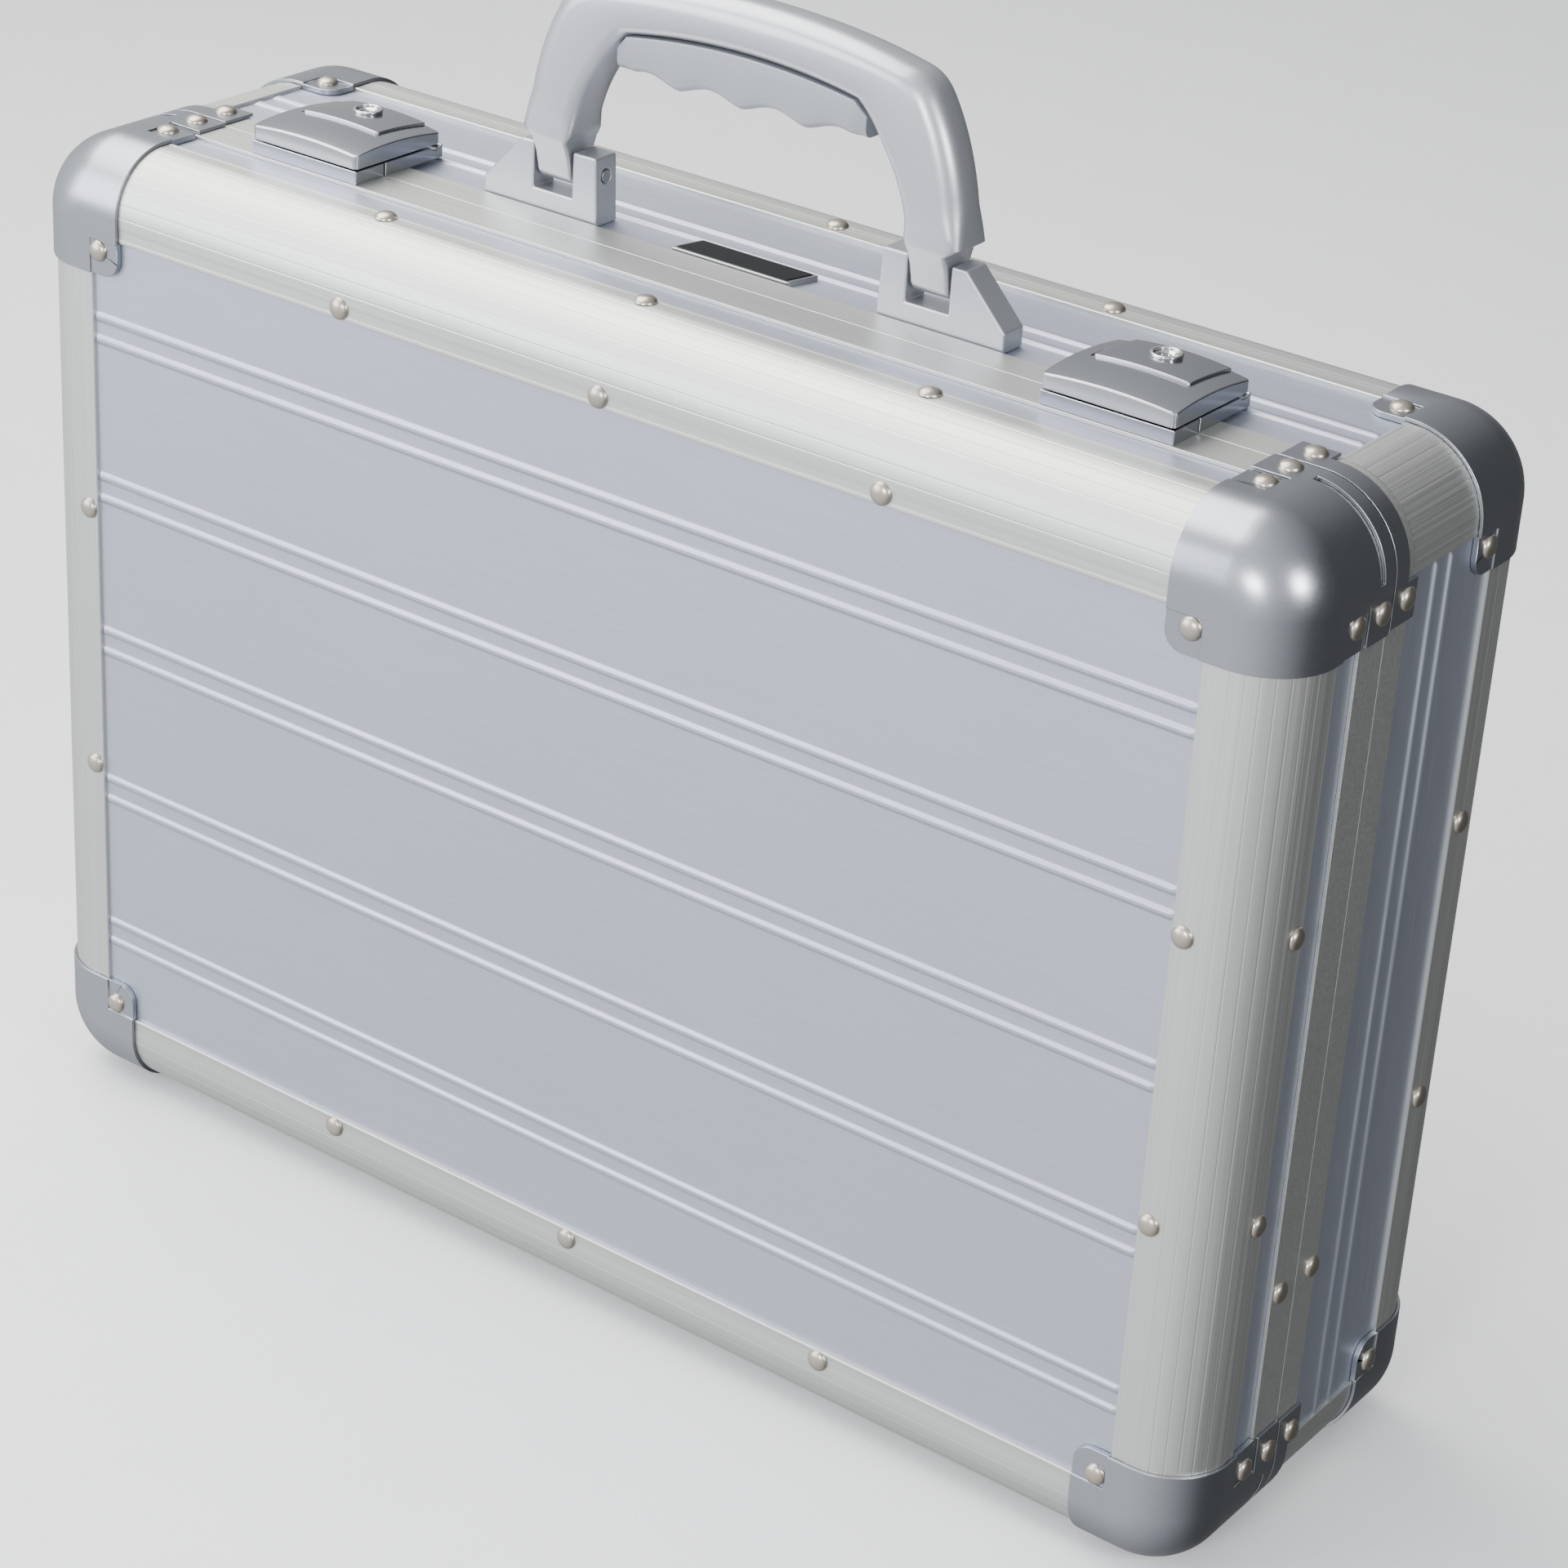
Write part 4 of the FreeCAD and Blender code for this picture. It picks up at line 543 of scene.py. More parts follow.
# ---- Extrusions -----------------------------------------------------------------------------------
def lined_section(reach_a, reach_b, radius, shape):
    """Closed section of a quarter round with a lip at each end, as (a, b) pairs.

    s runs along the outer line: lip, arc, lip. The outer line is pushed in by narrow drawn lines at an
    even pitch, and by a flat trough that leaves a bead standing at each lip's edge. The bead's own edge
    is rounded off. The inner line is the same curve one wall deeper.
    """
    flat_a, flat_b, arc = reach_a - radius, reach_b - radius, radius * math.pi / 2
    total = flat_a + arc + flat_b
    s = np.linspace(0, total, int(total / SECTION_STEP))
    turn = np.clip((s - flat_a) / radius, 0, math.pi / 2)
    a = radius - radius * np.sin(turn) + np.clip(flat_a - s, 0, None)
    b = radius - radius * np.cos(turn) + np.clip(s - flat_a - arc, 0, None)
    inwards = np.sin(turn), np.cos(turn)
    from_end = np.minimum(s, total - s)
    phase = (s - total / 2) / shape.line_pitch
    off_line = np.abs(phase - np.round(phase)) * shape.line_pitch
    depth = shape.line_depth * np.clip(1 - 2 * off_line / shape.line_width, 0, 1)
    trough = shape.line_depth * np.clip((from_end - shape.bead) / shape.bead_slope, 0, 1)
    trough *= np.clip((5 * shape.bead - from_end) / (1.5 * shape.bead), 0, 1)
    depth = np.maximum(np.where(from_end > 2 * shape.bead, depth, 0), trough)
    depth = depth + shape.lip_drop * np.clip(1 - from_end / shape.lip_round, 0, 1) ** 2
    outer = np.stack([a + inwards[0] * depth, b + inwards[1] * depth], -1)
    inner = np.stack([a + inwards[0] * shape.wall, b + inwards[1] * shape.wall], -1)
    return np.concatenate([outer, inner[::-1]])


def edge_run(name, section, corner, a, b, along, start, end, material, body, slot, stands_for=()):
    """A section in the directions a and b from the corner line, carried from start to end."""
    corner, a, b, along = (np.asarray(v, float) for v in (corner, a, b, along))
    flat = corner + section[:, :1] * a + section[:, 1:] * b
    points = np.stack([flat + along * place for place in (start, end)])
    count = len(section)
    faces = loft_faces(2, count) + strip_caps(2, count)
    return new_piece(name, points, faces, material, body, slot, stands_for, crease=24.0)


class CASE_OT_extrusions(bpy.types.Operator):
    """Edge and corner extrusions with drawn lines and beaded lips"""

    bl_idname = "case.extrusions"
    bl_label = "Extrusions"

    def execute(self, context):
        shape = context.scene.case_shape
        for shell, plane, inwards in (("lid", FRONT, 1), ("back", BACK, -1)):
            for wall, direction in INWARDS.items():
                node = f"{shell}_{wall}_extrusion"
                low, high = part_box(node)
                upright = wall in ("left", "right")
                size = high - low
                reach_face = size.x if upright else size.z
                section = lined_section(size.y, reach_face, shape.edge_radius, shape)
                x = {"left": LEFT, "right": RIGHT}.get(wall, 0.0)
                z = {"top": TOP, "bottom": BOTTOM}.get(wall, 0.0)
                along, start, end = ((0, 0, 1), low.z, high.z) if upright else ((1, 0, 0), low.x, high.x)
                material = MATERIALS["drawn_z" if upright else "drawn_x"]
                edge_run(f"{shell}_{wall}_edge", section, (x, plane, z), (0, inwards, 0), direction, along,
                         start, end, material, BODY_OF[node], SLOT_OF[node], (node,))
        self.corners(shape)
        return {"FINISHED"}

    def corners(self, shape):
        """The base's four corner extrusions, along Y."""
        node = "base_corner_extrusions"
        low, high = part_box(node)
        section = lined_section(shape.corner_reach, shape.corner_reach, shape.corner_radius, shape)
        stands_for = (node,)
        for side, x in (("left", LEFT), ("right", RIGHT)):
            for end, z in (("top", TOP), ("bottom", BOTTOM)):
                edge_run(f"base_corner_{side}_{end}_edge", section, (x, 0, z), INWARDS[side], INWARDS[end],
                         (0, 1, 0), low.y, high.y, MATERIALS["drawn_y"], BODY_OF[node], SLOT_OF[node],
                         stands_for)
                stands_for = ()


# ---- Panels ---------------------------------------------------------------------------------------
def sheet_run(name, origin, u, v, w, half_u, v0, v1, ribs, rib_half, rise, shape, material, body, slot,
              stands_for=()):
    """A flat sheet in u and v whose outer face stands out by rise at each rib.

    A rib's height falls from its crown to its foot as half a cosine, and its ends are pressed down over
    a short length. w points inwards, and the origin lies on the sheet's outer face.
    """
    count = int((v1 - v0) / SHEET_STEP) if ribs else 2
    across = np.linspace(v0, v1, count)
    height = np.zeros(count)
    flank = (shape.rib_foot - shape.rib_crown) / 2
    for place in ribs:
        off = np.clip((np.abs(across - place) - shape.rib_crown / 2) / flank, 0, 1)
        height = np.maximum(height, rise * 0.5 * (1 + np.cos(math.pi * off)))
    full = rib_half - shape.rib_end
    along = np.array([-half_u, -rib_half, -full, full, rib_half, half_u])
    share = np.array([0.0, 0.15, 1.0, 1.0, 0.15, 0.0])
    u, v, w, origin = (np.asarray(value, float) for value in (u, v, w, origin))
    outer = across[None, :, None] * v - share[:, None, None] * height[None, :, None] * w
    inner = across[None, ::-1, None] * v + np.zeros((6, 1, 1)) + shape.skin * w
    points = origin + along[:, None, None] * u + np.concatenate([outer, inner], 1)
    faces = loft_faces(6, 2 * count) + strip_caps(6, 2 * count)
    return new_piece(name, points, faces, material, body, slot, stands_for, crease=40.0)


class CASE_OT_panels(bpy.types.Operator):
    """Face and wall panels with pressed ribs"""

    bl_idname = "case.panels"
    bl_label = "Panels"

    def execute(self, context):
        shape = context.scene.case_shape
        pairs = [shape.rib_pitch * k for k in (-2, -1, 0, 1, 2)]
        ribs = [p + s * shape.rib_space / 2 for p in pairs for s in (-1, 1)]
        for node, inwards, edge in (("front_panel", 1, "lid_left_extrusion"),
                                    ("back_panel", -1, "back_left_extrusion")):
            low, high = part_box(node)
            inner_face = high.y if inwards > 0 else low.y
            rise = high.y - low.y - shape.skin
            lip_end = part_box(edge)[1].x
            sheet_run(node + "_sheet", (0, inner_face - inwards * shape.skin, MIDDLE), (1, 0, 0), (0, 0, 1),
                      (0, inwards, 0), high.x, low.z - MIDDLE, high.z - MIDDLE, ribs,
                      -lip_end - shape.gap, rise, shape, MATERIALS["sheet_x"], BODY_OF[node],
                      SLOT_OF[node], (node,))
        for shell in ("lid", "base"):
            self.walls(shell, shape)
        return {"FINISHED"}

    def walls(self, shell, shape):
        """The four wall sheets of one half; the base's carry a pair of ribs all the way round."""
        node = f"{shell}_wall_skins"
        low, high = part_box(node)
        ribs = [PARTING + shape.wall_rib_near, PARTING + shape.wall_rib_far] if shell == "base" else []
        half_x = RIGHT - shape.corner_radius - shape.gap
        half_z = TOP - MIDDLE - shape.corner_radius - shape.gap
        lip = shape.corner_reach - shape.corner_radius
        planes = {"top": (0, 0, TOP), "bottom": (0, 0, BOTTOM), "left": (LEFT, 0, MIDDLE),
                  "right": (RIGHT, 0, MIDDLE)}
        stands_for = (node,)
        for wall, direction in INWARDS.items():
            origin = np.array(planes[wall]) + shape.wall * np.array(direction)
            upright = wall in ("left", "right")
            along, half = ((0, 0, 1), half_z) if upright else ((1, 0, 0), half_x)
            sheet_run(f"{shell}_{wall}_sheet", origin, along, (0, 1, 0), direction, half, low.y, high.y,
                      ribs, half - lip, shape.wall_rib_rise, shape,
                      MATERIALS["sheet_z" if upright else "sheet_x"], BODY_OF[node], SLOT_OF[node],
                      stands_for)
            stands_for = ()


# ---- Pieces that keep the frame's shape -----------------------------------------------------------
class CASE_OT_castings(bpy.types.Operator):
    """Rims, corner caps, clamps, hinge, brackets, pins, latch bases, stays and feet with broken edges"""

    bl_idname = "case.castings"
    bl_label = "Castings and pressings"

    def execute(self, context):
        shape = context.scene.case_shape
        bevel, fine = shape.bevel, shape.pin_bevel
        caps = [f"{shell}_corner_{side}_{end}" for shell in ("lid", "back") for side in ("left", "right")
                for end in ("top", "bottom")]
        groups = [
            (("lid_rim", "base_rim"), "drawn_x", shape.rim_bevel),
            ((*caps, "base_corner_clamps"), "corner", shape.cap_bevel),
            (("stay_knee_rivets",), "steel", fine),
            (("hinge_lid_leaf", "hinge_base_leaf", "hinge_pin"), "steel", fine),
            (("handle_bracket_left", "handle_bracket_right"), "handle", 2 * bevel),
            (("handle_pins", "latch_pins"), "steel", fine),
            (("latch_strike_plates", "latch_base_plates", "latch_hook_left", "latch_hook_right"),
             "latch", bevel),
            (("stay_base_bars", "stay_lid_bars"), "steel", fine),
            (("lid_feet", "base_feet"), "rubber", bevel),
            (("lid_boards", "base_boards"), "board", 0),
        ]
        for nodes, material, width in groups:
            for node in nodes:
                finished_copy(node, MATERIALS[material], width)
        return {"FINISHED"}


# ---- Rivets ---------------------------------------------------------------------------------------
def loose_parts(node):
    """The points of each unconnected part of a frame node, in the order of their first points."""
    shell = bmesh.new()
    shell.from_mesh(frame["nodes"][node].data)
    bmesh.ops.remove_doubles(shell, verts=shell.verts, dist=2e-6)
    left, parts = set(shell.verts), []
    for first in shell.verts:
        if first not in left:
            continue
        left.discard(first)
        front, part = [first], []
        while front:
            vert = front.pop()
            part.append(tuple(vert.co))
            near = {edge.other_vert(vert) for edge in vert.link_edges} & left
            left -= near
            front.extend(near)
        parts.append(np.array(part))
    shell.free()
    return parts


def turned(profile, centre, axis, sides=28):
    """Points of a profile of (radius, height) pairs turned about an axis through the centre."""
    axis = np.asarray(axis, float)
    across = np.roll(axis, 1)
    third = np.cross(axis, across)
    turn = np.linspace(0, 2 * math.pi, sides, endpoint=False)
    circle = np.cos(turn)[:, None] * across + np.sin(turn)[:, None] * third
    radius, height = np.asarray(profile, float).T
    return centre + radius[:, None, None] * circle[None] + height[:, None, None] * axis


def repeated(faces, points, count):
    """The faces of one shape, repeated for count shapes that have the given number of points each."""
    return [[points * i + k for k in face] for i in range(count) for face in faces]


class CASE_OT_rivets(bpy.types.Operator):
    """Domed rivets, each turned from its profile where the frame has one"""

    bl_idname = "case.rivets"
    bl_label = "Rivets"

    def execute(self, context):
        shape = context.scene.case_shape
        for node in ("lid_rivets", "base_rivets"):
            self.row(node, shape.shell_shank, shape)
        for node in ("stay_lid_rivets", "stay_base_rivets"):
            self.row(node, shape.stay_shank, shape)
        return {"FINISHED"}

    def row(self, node, shank, shape):
        """A dome h = rise cos(t) over r = R sin(t), its flat underside, and the shank. Each rivet stands
        on the wall plane that it is proudest of."""
        planes = [(0, -1, LEFT), (0, 1, RIGHT), (1, -1, FRONT), (1, 1, BACK), (2, -1, BOTTOM), (2, 1, TOP)]
        points = []
        for part in loose_parts(node):
            low, high = part.min(0), part.max(0)
            proud = [sign * ((high if sign > 0 else low)[k] - place) for k, sign, place in planes]
            k, sign, _ = planes[int(np.argmax(proud))]
            centre = (low + high) / 2
            centre[k] = (high if sign > 0 else low)[k] - sign * shape.rivet_rise
            radius = max(high[i] - low[i] for i in range(3) if i != k) / 2
            t = np.linspace(0, math.pi / 2, 10)
            dome = np.stack([radius * np.sin(t), shape.rivet_rise * np.cos(t)], -1)
            deep = high[k] - low[k] - shape.rivet_rise
            seat = -shape.rivet_seat
            foot = [(radius * 0.96, seat), (shank, seat), (shank, -deep), (0, -deep)]
            points.append(turned(np.concatenate([dome, foot]), centre, np.eye(3)[k] * sign))
        stations, ring = points[0].shape[:2]
        faces = repeated(loft_faces(stations, ring), stations * ring, len(points))
        new_piece(node + "_turned", np.concatenate(points), faces, MATERIALS["rivet"], BODY_OF[node],
                  SLOT_OF[node], (node,), crease=50.0)


# ---- Handle ---------------------------------------------------------------------------------------
def bezier(points, count):
    """Points along a Bezier curve of any degree."""
    t = np.linspace(0, 1, count)[:, None]
    points = [np.asarray(p, float) for p in points]
    degree = len(points) - 1
    return sum(math.comb(degree, k) * t ** k * (1 - t) ** (degree - k) * p for k, p in enumerate(points))


def handle_lines(rise):
    """Outer and inner line of the right half, as (x, z), from the foot of the leg to the middle.

    Each is a leg, a turn and half of the bridge, sampled alike so that a section joins equal places.
    """
    def line(leg, turn, bridge):
        return np.concatenate([bezier(leg, 14)[:-1], bezier(turn, 11)[:-1], bezier(bridge, 22)])

    outer = line([(79.5, 25.5), (77.5, 50.0), (67.0, 66.5)],
                 [(67.0, 66.5), (64.0, 71.6), (58.0, 72.8)],
                 [(58.0, 72.8), (32.0, 79.0), (0.0, 79.0)])
    inner = line([(60.5, 25.5), (58.5, 38.0), (51.5, 48.0)],
                 [(51.5, 48.0), (46.0, 57.0), (41.0, 60.6)],
                 [(41.0, 60.6), (22.0, 64.2), (0.0, 64.2)])
    return outer * MM + [0, rise], inner * MM + [0, rise]


def soft_section(width, depth, outside, inside, per_corner=7):
    """Rounded rectangles, one per row: a runs across the bar from 0 (outside) to 1 (inside) of width,
    b is along the depth. Corners have one radius outside and a smaller one inside."""
    turn = np.linspace(0, math.pi / 2, per_corner)
    width, depth, outside, inside = (np.asarray(v, float)[:, None] for v in (width, depth, outside, inside))
    half = depth / 2
    a = np.concatenate([outside * (1 - np.sin(turn)), outside * (1 - np.cos(turn)),
                        width - inside * (1 - np.sin(turn)), width - inside * (1 - np.cos(turn))], 1)
    b = np.concatenate([half - outside * (1 - np.cos(turn)), -half + outside * (1 - np.sin(turn)),
                        -half + inside * (1 - np.cos(turn)), half - inside * (1 - np.sin(turn))], 1)
    return a, b


class CASE_OT_handle(bpy.types.Operator):
    """Handle: a bar of changing section bent over the grip, with tongues into the brackets"""

    bl_idname = "case.handle"
    bl_label = "Handle"

    def execute(self, context):
        low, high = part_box("handle_shell")
        middle_y = (low.y + high.y) / 2
        self.shell(middle_y, high.y - low.y)
        self.grip(middle_y)
        return {"FINISHED"}

    def shell(self, middle_y, depth):
        """Sections stand between the outer and the inner line. Below the foot they shrink to the tongue
        and end in its half round, and the left half mirrors the right.

        The depth grows from the tongue to the leg as 3 s^2 - 2 s^3, and the corners' radii grow over
        the first sections of the leg.
        """
        outer, inner = handle_lines(TOP)
        tongue_out, tongue_in, tongue = 75.2 * MM, 62.2 * MM, 10 * MM
        pin, tongue_top, foot_height = TOP + 13.7 * MM, TOP + 22.6 * MM, 2.9 * MM
        z = np.concatenate([tongue_top + np.array([1.8, 0.6, 0.0]) * MM, [TOP + 18 * MM, pin]])
        straight = len(z)
        fall = np.sin(np.linspace(0, math.pi / 2, 7)[1:])
        z = np.concatenate([z, pin - tongue / 2 * fall])
        blend = np.clip((z - tongue_top) / foot_height, 0, 1)
        foot_out = np.stack([tongue_out + blend * (outer[0, 0] - tongue_out), z], -1)[::-1]
        foot_in = np.stack([tongue_in + blend * (inner[0, 0] - tongue_in), z], -1)[::-1]
        slope = np.clip((z - (TOP + 14 * MM)) / (11 * MM), 0, 1)
        deep = tongue + slope * slope * (3 - 2 * slope) * (depth - tongue)
        deep[straight:] = np.maximum(tongue * np.cos(np.arcsin(fall)), 1.2 * MM)
        outer = np.concatenate([foot_out, outer])
        inner = np.concatenate([foot_in, inner])
        count, foot = len(outer), len(z)
        depths = np.concatenate([deep[::-1], np.full(count - foot, depth)])
        share = np.clip((np.arange(count) - foot + 2) / 5, 0, 1)
        outside = np.minimum(1.2 * MM + share * 5.6 * MM, depths * 0.45)
        inside = np.minimum(1.0 * MM + share * 3.2 * MM, depths * 0.4)
        outer, inner = (np.concatenate([v, (v * [-1, 1])[-2::-1]]) for v in (outer, inner))
        depths, outside, inside = (np.concatenate([v, v[-2::-1]]) for v in (depths, outside, inside))
        across = inner - outer
        width = np.linalg.norm(across, axis=1)
        a, b = soft_section(width, depths, outside, inside)
        place = outer[:, None] + across[:, None] * (a / width[:, None])[..., None]
        points = np.stack([place[..., 0], middle_y + b, place[..., 1]], -1)
        stations, ring = a.shape
        new_piece("handle_bar", points, loft_faces(stations, ring) + fan_caps(stations, ring),
                  MATERIALS["handle"], "handle", SLOT_OF["handle_shell"], ("handle_shell",))

    def grip(self, middle_y):
        """Insert along X. Its top is a parabola under the bridge and slants down along the legs. Its
        underside is a wave that gives each finger a hollow, and it narrows towards its ends."""
        low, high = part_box("handle_grip")
        end_room, finger, thinnest = 3.2 * MM, 23 * MM, 0.4 * MM
        bridge, bridge_top, bridge_sag = 41 * MM, TOP + 63.7 * MM, 3.4 * MM
        slant, slant_drop = 9.5 * MM, 10.2 * MM
        ridge, hollow, end_floor = TOP + 47.4 * MM, 2.8 * MM, TOP + 49.6 * MM
        x = np.linspace(low.x + end_room, high.x - end_room, 121)
        past = np.clip((np.abs(x) - bridge) / slant, 0, 1)
        upper = np.where(past > 0, bridge_top - bridge_sag - past * slant_drop,
                         bridge_top - bridge_sag * (x / bridge) ** 2)
        wave = 0.5 - 0.5 * np.cos(2 * math.pi * x / finger)
        lower = ridge + hollow * wave ** 0.7
        lower = np.where(np.abs(x) > 1.5 * finger, np.maximum(lower, end_floor), lower)
        lower = np.minimum(lower, upper - thinnest)
        depth = (high.y - low.y) * (1 - 0.4 * past)
        tall = upper - lower
        a, b = soft_section(tall, depth, np.minimum(0.5 * MM, tall * 0.3),
                            np.minimum(4.2 * MM, tall * 0.45))
        points = np.stack([np.broadcast_to(x[:, None], a.shape), middle_y + b, upper[:, None] - a], -1)
        stations, ring = a.shape
        new_piece("handle_insert", points, loft_faces(stations, ring) + fan_caps(stations, ring),
                  MATERIALS["grip"], "handle", SLOT_OF["handle_grip"], ("handle_grip",))


# ---- Latches and name plate -----------------------------------------------------------------------
class CASE_OT_latches(bpy.types.Operator):
    """Latch covers, key plates and lock rims, and the blank name plate"""

    bl_idname = "case.latches"
    bl_label = "Latches"

    def execute(self, context):
        for side in ("left", "right"):
            self.cover(side)
        self.name_plate()
        return {"FINISHED"}

    def cover(self, side):
        """The cover's top rises gently from front to middle and falls to its back, and is crowned across:
        z = 8.9 + 1.3 sin(pi t^0.8) - 0.9 t^4 + (1.2 + 0.7 t)(1 - u^2) millimetres, with t from the front
        to the back and u from the middle to a side. A slot runs along the left of the key plate, which
        lies on the cover with the same crown. Both stop short of the frame's back, so that they clear
        the base plate when the latch is lifted."""
        node, key_node = f"latch_lever_{side}", f"latch_key_plate_{side}"
        low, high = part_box(node)
        key_low, key_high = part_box(key_node)
        x0, front, back = (low.x + high.x) / 2, low.y, high.y - 0.8 * MM
        half_x, half_y = (high.x - low.x) / 2, (back - front) / 2
        half_key = (back - key_low.y) / 2
        cover_floor, key_floor, key_rise = TOP + 4.9 * MM, TOP + 8.9 * MM, 0.75 * MM
        slot_place, slot_half, slot_depth = -16.2 * MM, 0.5 * MM, 1.6 * MM
        slot_start, slot_end = key_low.y + 0.4 * MM, key_low.y + 10 * MM

        def skin(x, y):
            """Height of the cover's top at x from the latch's middle and at the depth y."""
            t = (y - front) / (high.y - front)
            return TOP + MM * (8.9 + 1.3 * np.sin(math.pi * np.clip(t, 0, 1) ** 0.8) - 0.9 * t ** 4
                               + (1.2 + 0.7 * t) * (1 - (x / half_x) ** 2))

        def cover_top(x, y):
            place = y + front + half_y
            slotted = (place > slot_start) & (place < slot_end) & (np.abs(x - slot_place) < slot_half)
            return skin(x, place) - np.where(slotted, slot_depth, 0)

        def key_top(x, y):
            return np.minimum(skin(x, y + key_low.y + half_key) + key_rise, key_high.z + 0.25 * MM)

        slab(f"latch_cover_{side}", (x0, front + half_y), half_x, half_y, 1.6 * MM, cover_floor,
             cover_top, 0.45 * MM, MATERIALS["latch"], BODY_OF[node], SLOT_OF[node], pitch=0.3 * MM,
             stands_for=(node,), crease=40.0)
        slab(f"key_plate_{side}", (x0, key_low.y + half_key), (key_high.x - key_low.x) / 2, half_key,
             0.8 * MM, key_floor, key_top, 0.25 * MM, MATERIALS["latch"], BODY_OF[key_node],
             SLOT_OF[key_node], stands_for=(key_node,), crease=40.0)
        self.lock(side, x0)

    def lock(self, side, x0):
        """A turned chrome ring on the key plate, and the cylinder's dished face with a block of dark
        lacquer in its keyhole, which is painted shade: the real slot is dark only from the shade in it. The
        profiles are radii and heights, the heights from the cylinder's top."""
        node = f"latch_lock_{side}"
        low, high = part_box(node)
        centre = np.array([x0, (low.y + high.y) / 2, high.z])
        radius, sides, upwards = (high.x - low.x) / 2, 56, (0, 0, 1)
        bead = np.linspace(-0.25, 1.1, 9) * math.pi
        ring = np.stack([radius + (0.55 + 0.6 * np.cos(bead)) * MM, (0.05 + 0.45 * np.sin(bead)) * MM], -1)
        ring_floor = -2.5 * MM
        ring = np.concatenate([[(ring[0, 0], ring_floor)], ring, [(ring[-1, 0], ring_floor)]])
        ring = np.concatenate([ring, ring[:1]])
        new_piece(f"lock_rim_{side}", turned(ring, centre, upwards, sides), loft_faces(len(ring), sides),
                  MATERIALS["chrome"], f"latch_{side}", SLOT_OF[node], crease=40.0)
        dish = np.array([(0, -1.2), (1.4, -1.15), (2.4, -0.75), (2.9, -0.35), (3.2, -0.3), (3.5, -0.45),
                         (3.5, -6), (0, -6)]) * MM
        new_piece(f"lock_face_{side}", turned(dish, centre, upwards, sides), loft_faces(len(dish), sides),
                  MATERIALS["chrome"], f"lock_{side}", SLOT_OF[node], (node,), crease=40.0)
        # Painted shade: a dark gloss block fills the keyhole, where the real slot is dark only because
        # light does not reach into it.
        pillow(f"painted_keyhole_shade_{side}", (x0, centre[1]), 0.6 * MM, 1.9 * MM, 0.45 * MM, high.z - 3 * MM,
               lambda x, y: high.z - 1.0 * MM + 0 * x, 0.1 * MM, MATERIALS["plate"], f"lock_{side}",
               SLOT_OF[node])

    def name_plate(self):
        """A blank dark plate on a bright one: outlines that lean, x = x + lean y, with filleted edges."""
        low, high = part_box("name_plate")
        lean = 0.26
        half_x, half_y = (high.x - low.x) / 2 - 1.5 * MM, (high.y - low.y) / 2
        centre = ((low.x + high.x) / 2, (low.y + high.y) / 2)

        def skewed(name, half_x, half_y, floor, height, material, stands_for=()):
            """A flat plate that leans along Y."""
            piece = pillow(name, (0, 0), half_x, half_y, 0.8 * MM, floor, lambda x, y: height + 0 * x,
                           0.3 * MM, material, BODY_OF["name_plate"], SLOT_OF["name_plate"],
                           stands_for=stands_for)
            places = np.empty(len(piece.data.vertices) * 3)
            piece.data.vertices.foreach_get("co", places)
            places = places.reshape(-1, 3)
            places[:, 0] += centre[0] + lean * places[:, 1]
            places[:, 1] += centre[1]
            piece.data.vertices.foreach_set("co", places.ravel())

        skewed("name_plate_border", half_x, half_y, low.z, high.z + 0.3 * MM, MATERIALS["steel"],
               ("name_plate",))
        skewed("name_plate_face", half_x - 1.0 * MM, half_y - 0.9 * MM, low.z, high.z + 0.55 * MM,
               MATERIALS["plate"])


# ---- Inside ---------------------------------------------------------------------------------------
def case_ring(inset, y, corner_radius, per_corner=8):
    """The case's rounded outline, inset from its walls, at the depth y. Arrays give one ring per entry."""
    inset = np.asarray(inset, float)
    half_x, half_z = RIGHT - inset, TOP - MIDDLE - inset
    x, z = rounded_outline(half_x, half_z, np.maximum(corner_radius - inset, 2 * MM), per_corner)
    y = np.broadcast_to(np.asarray(y, float)[:, None], x.shape)
    return np.stack([x, y, z + MIDDLE], -1)


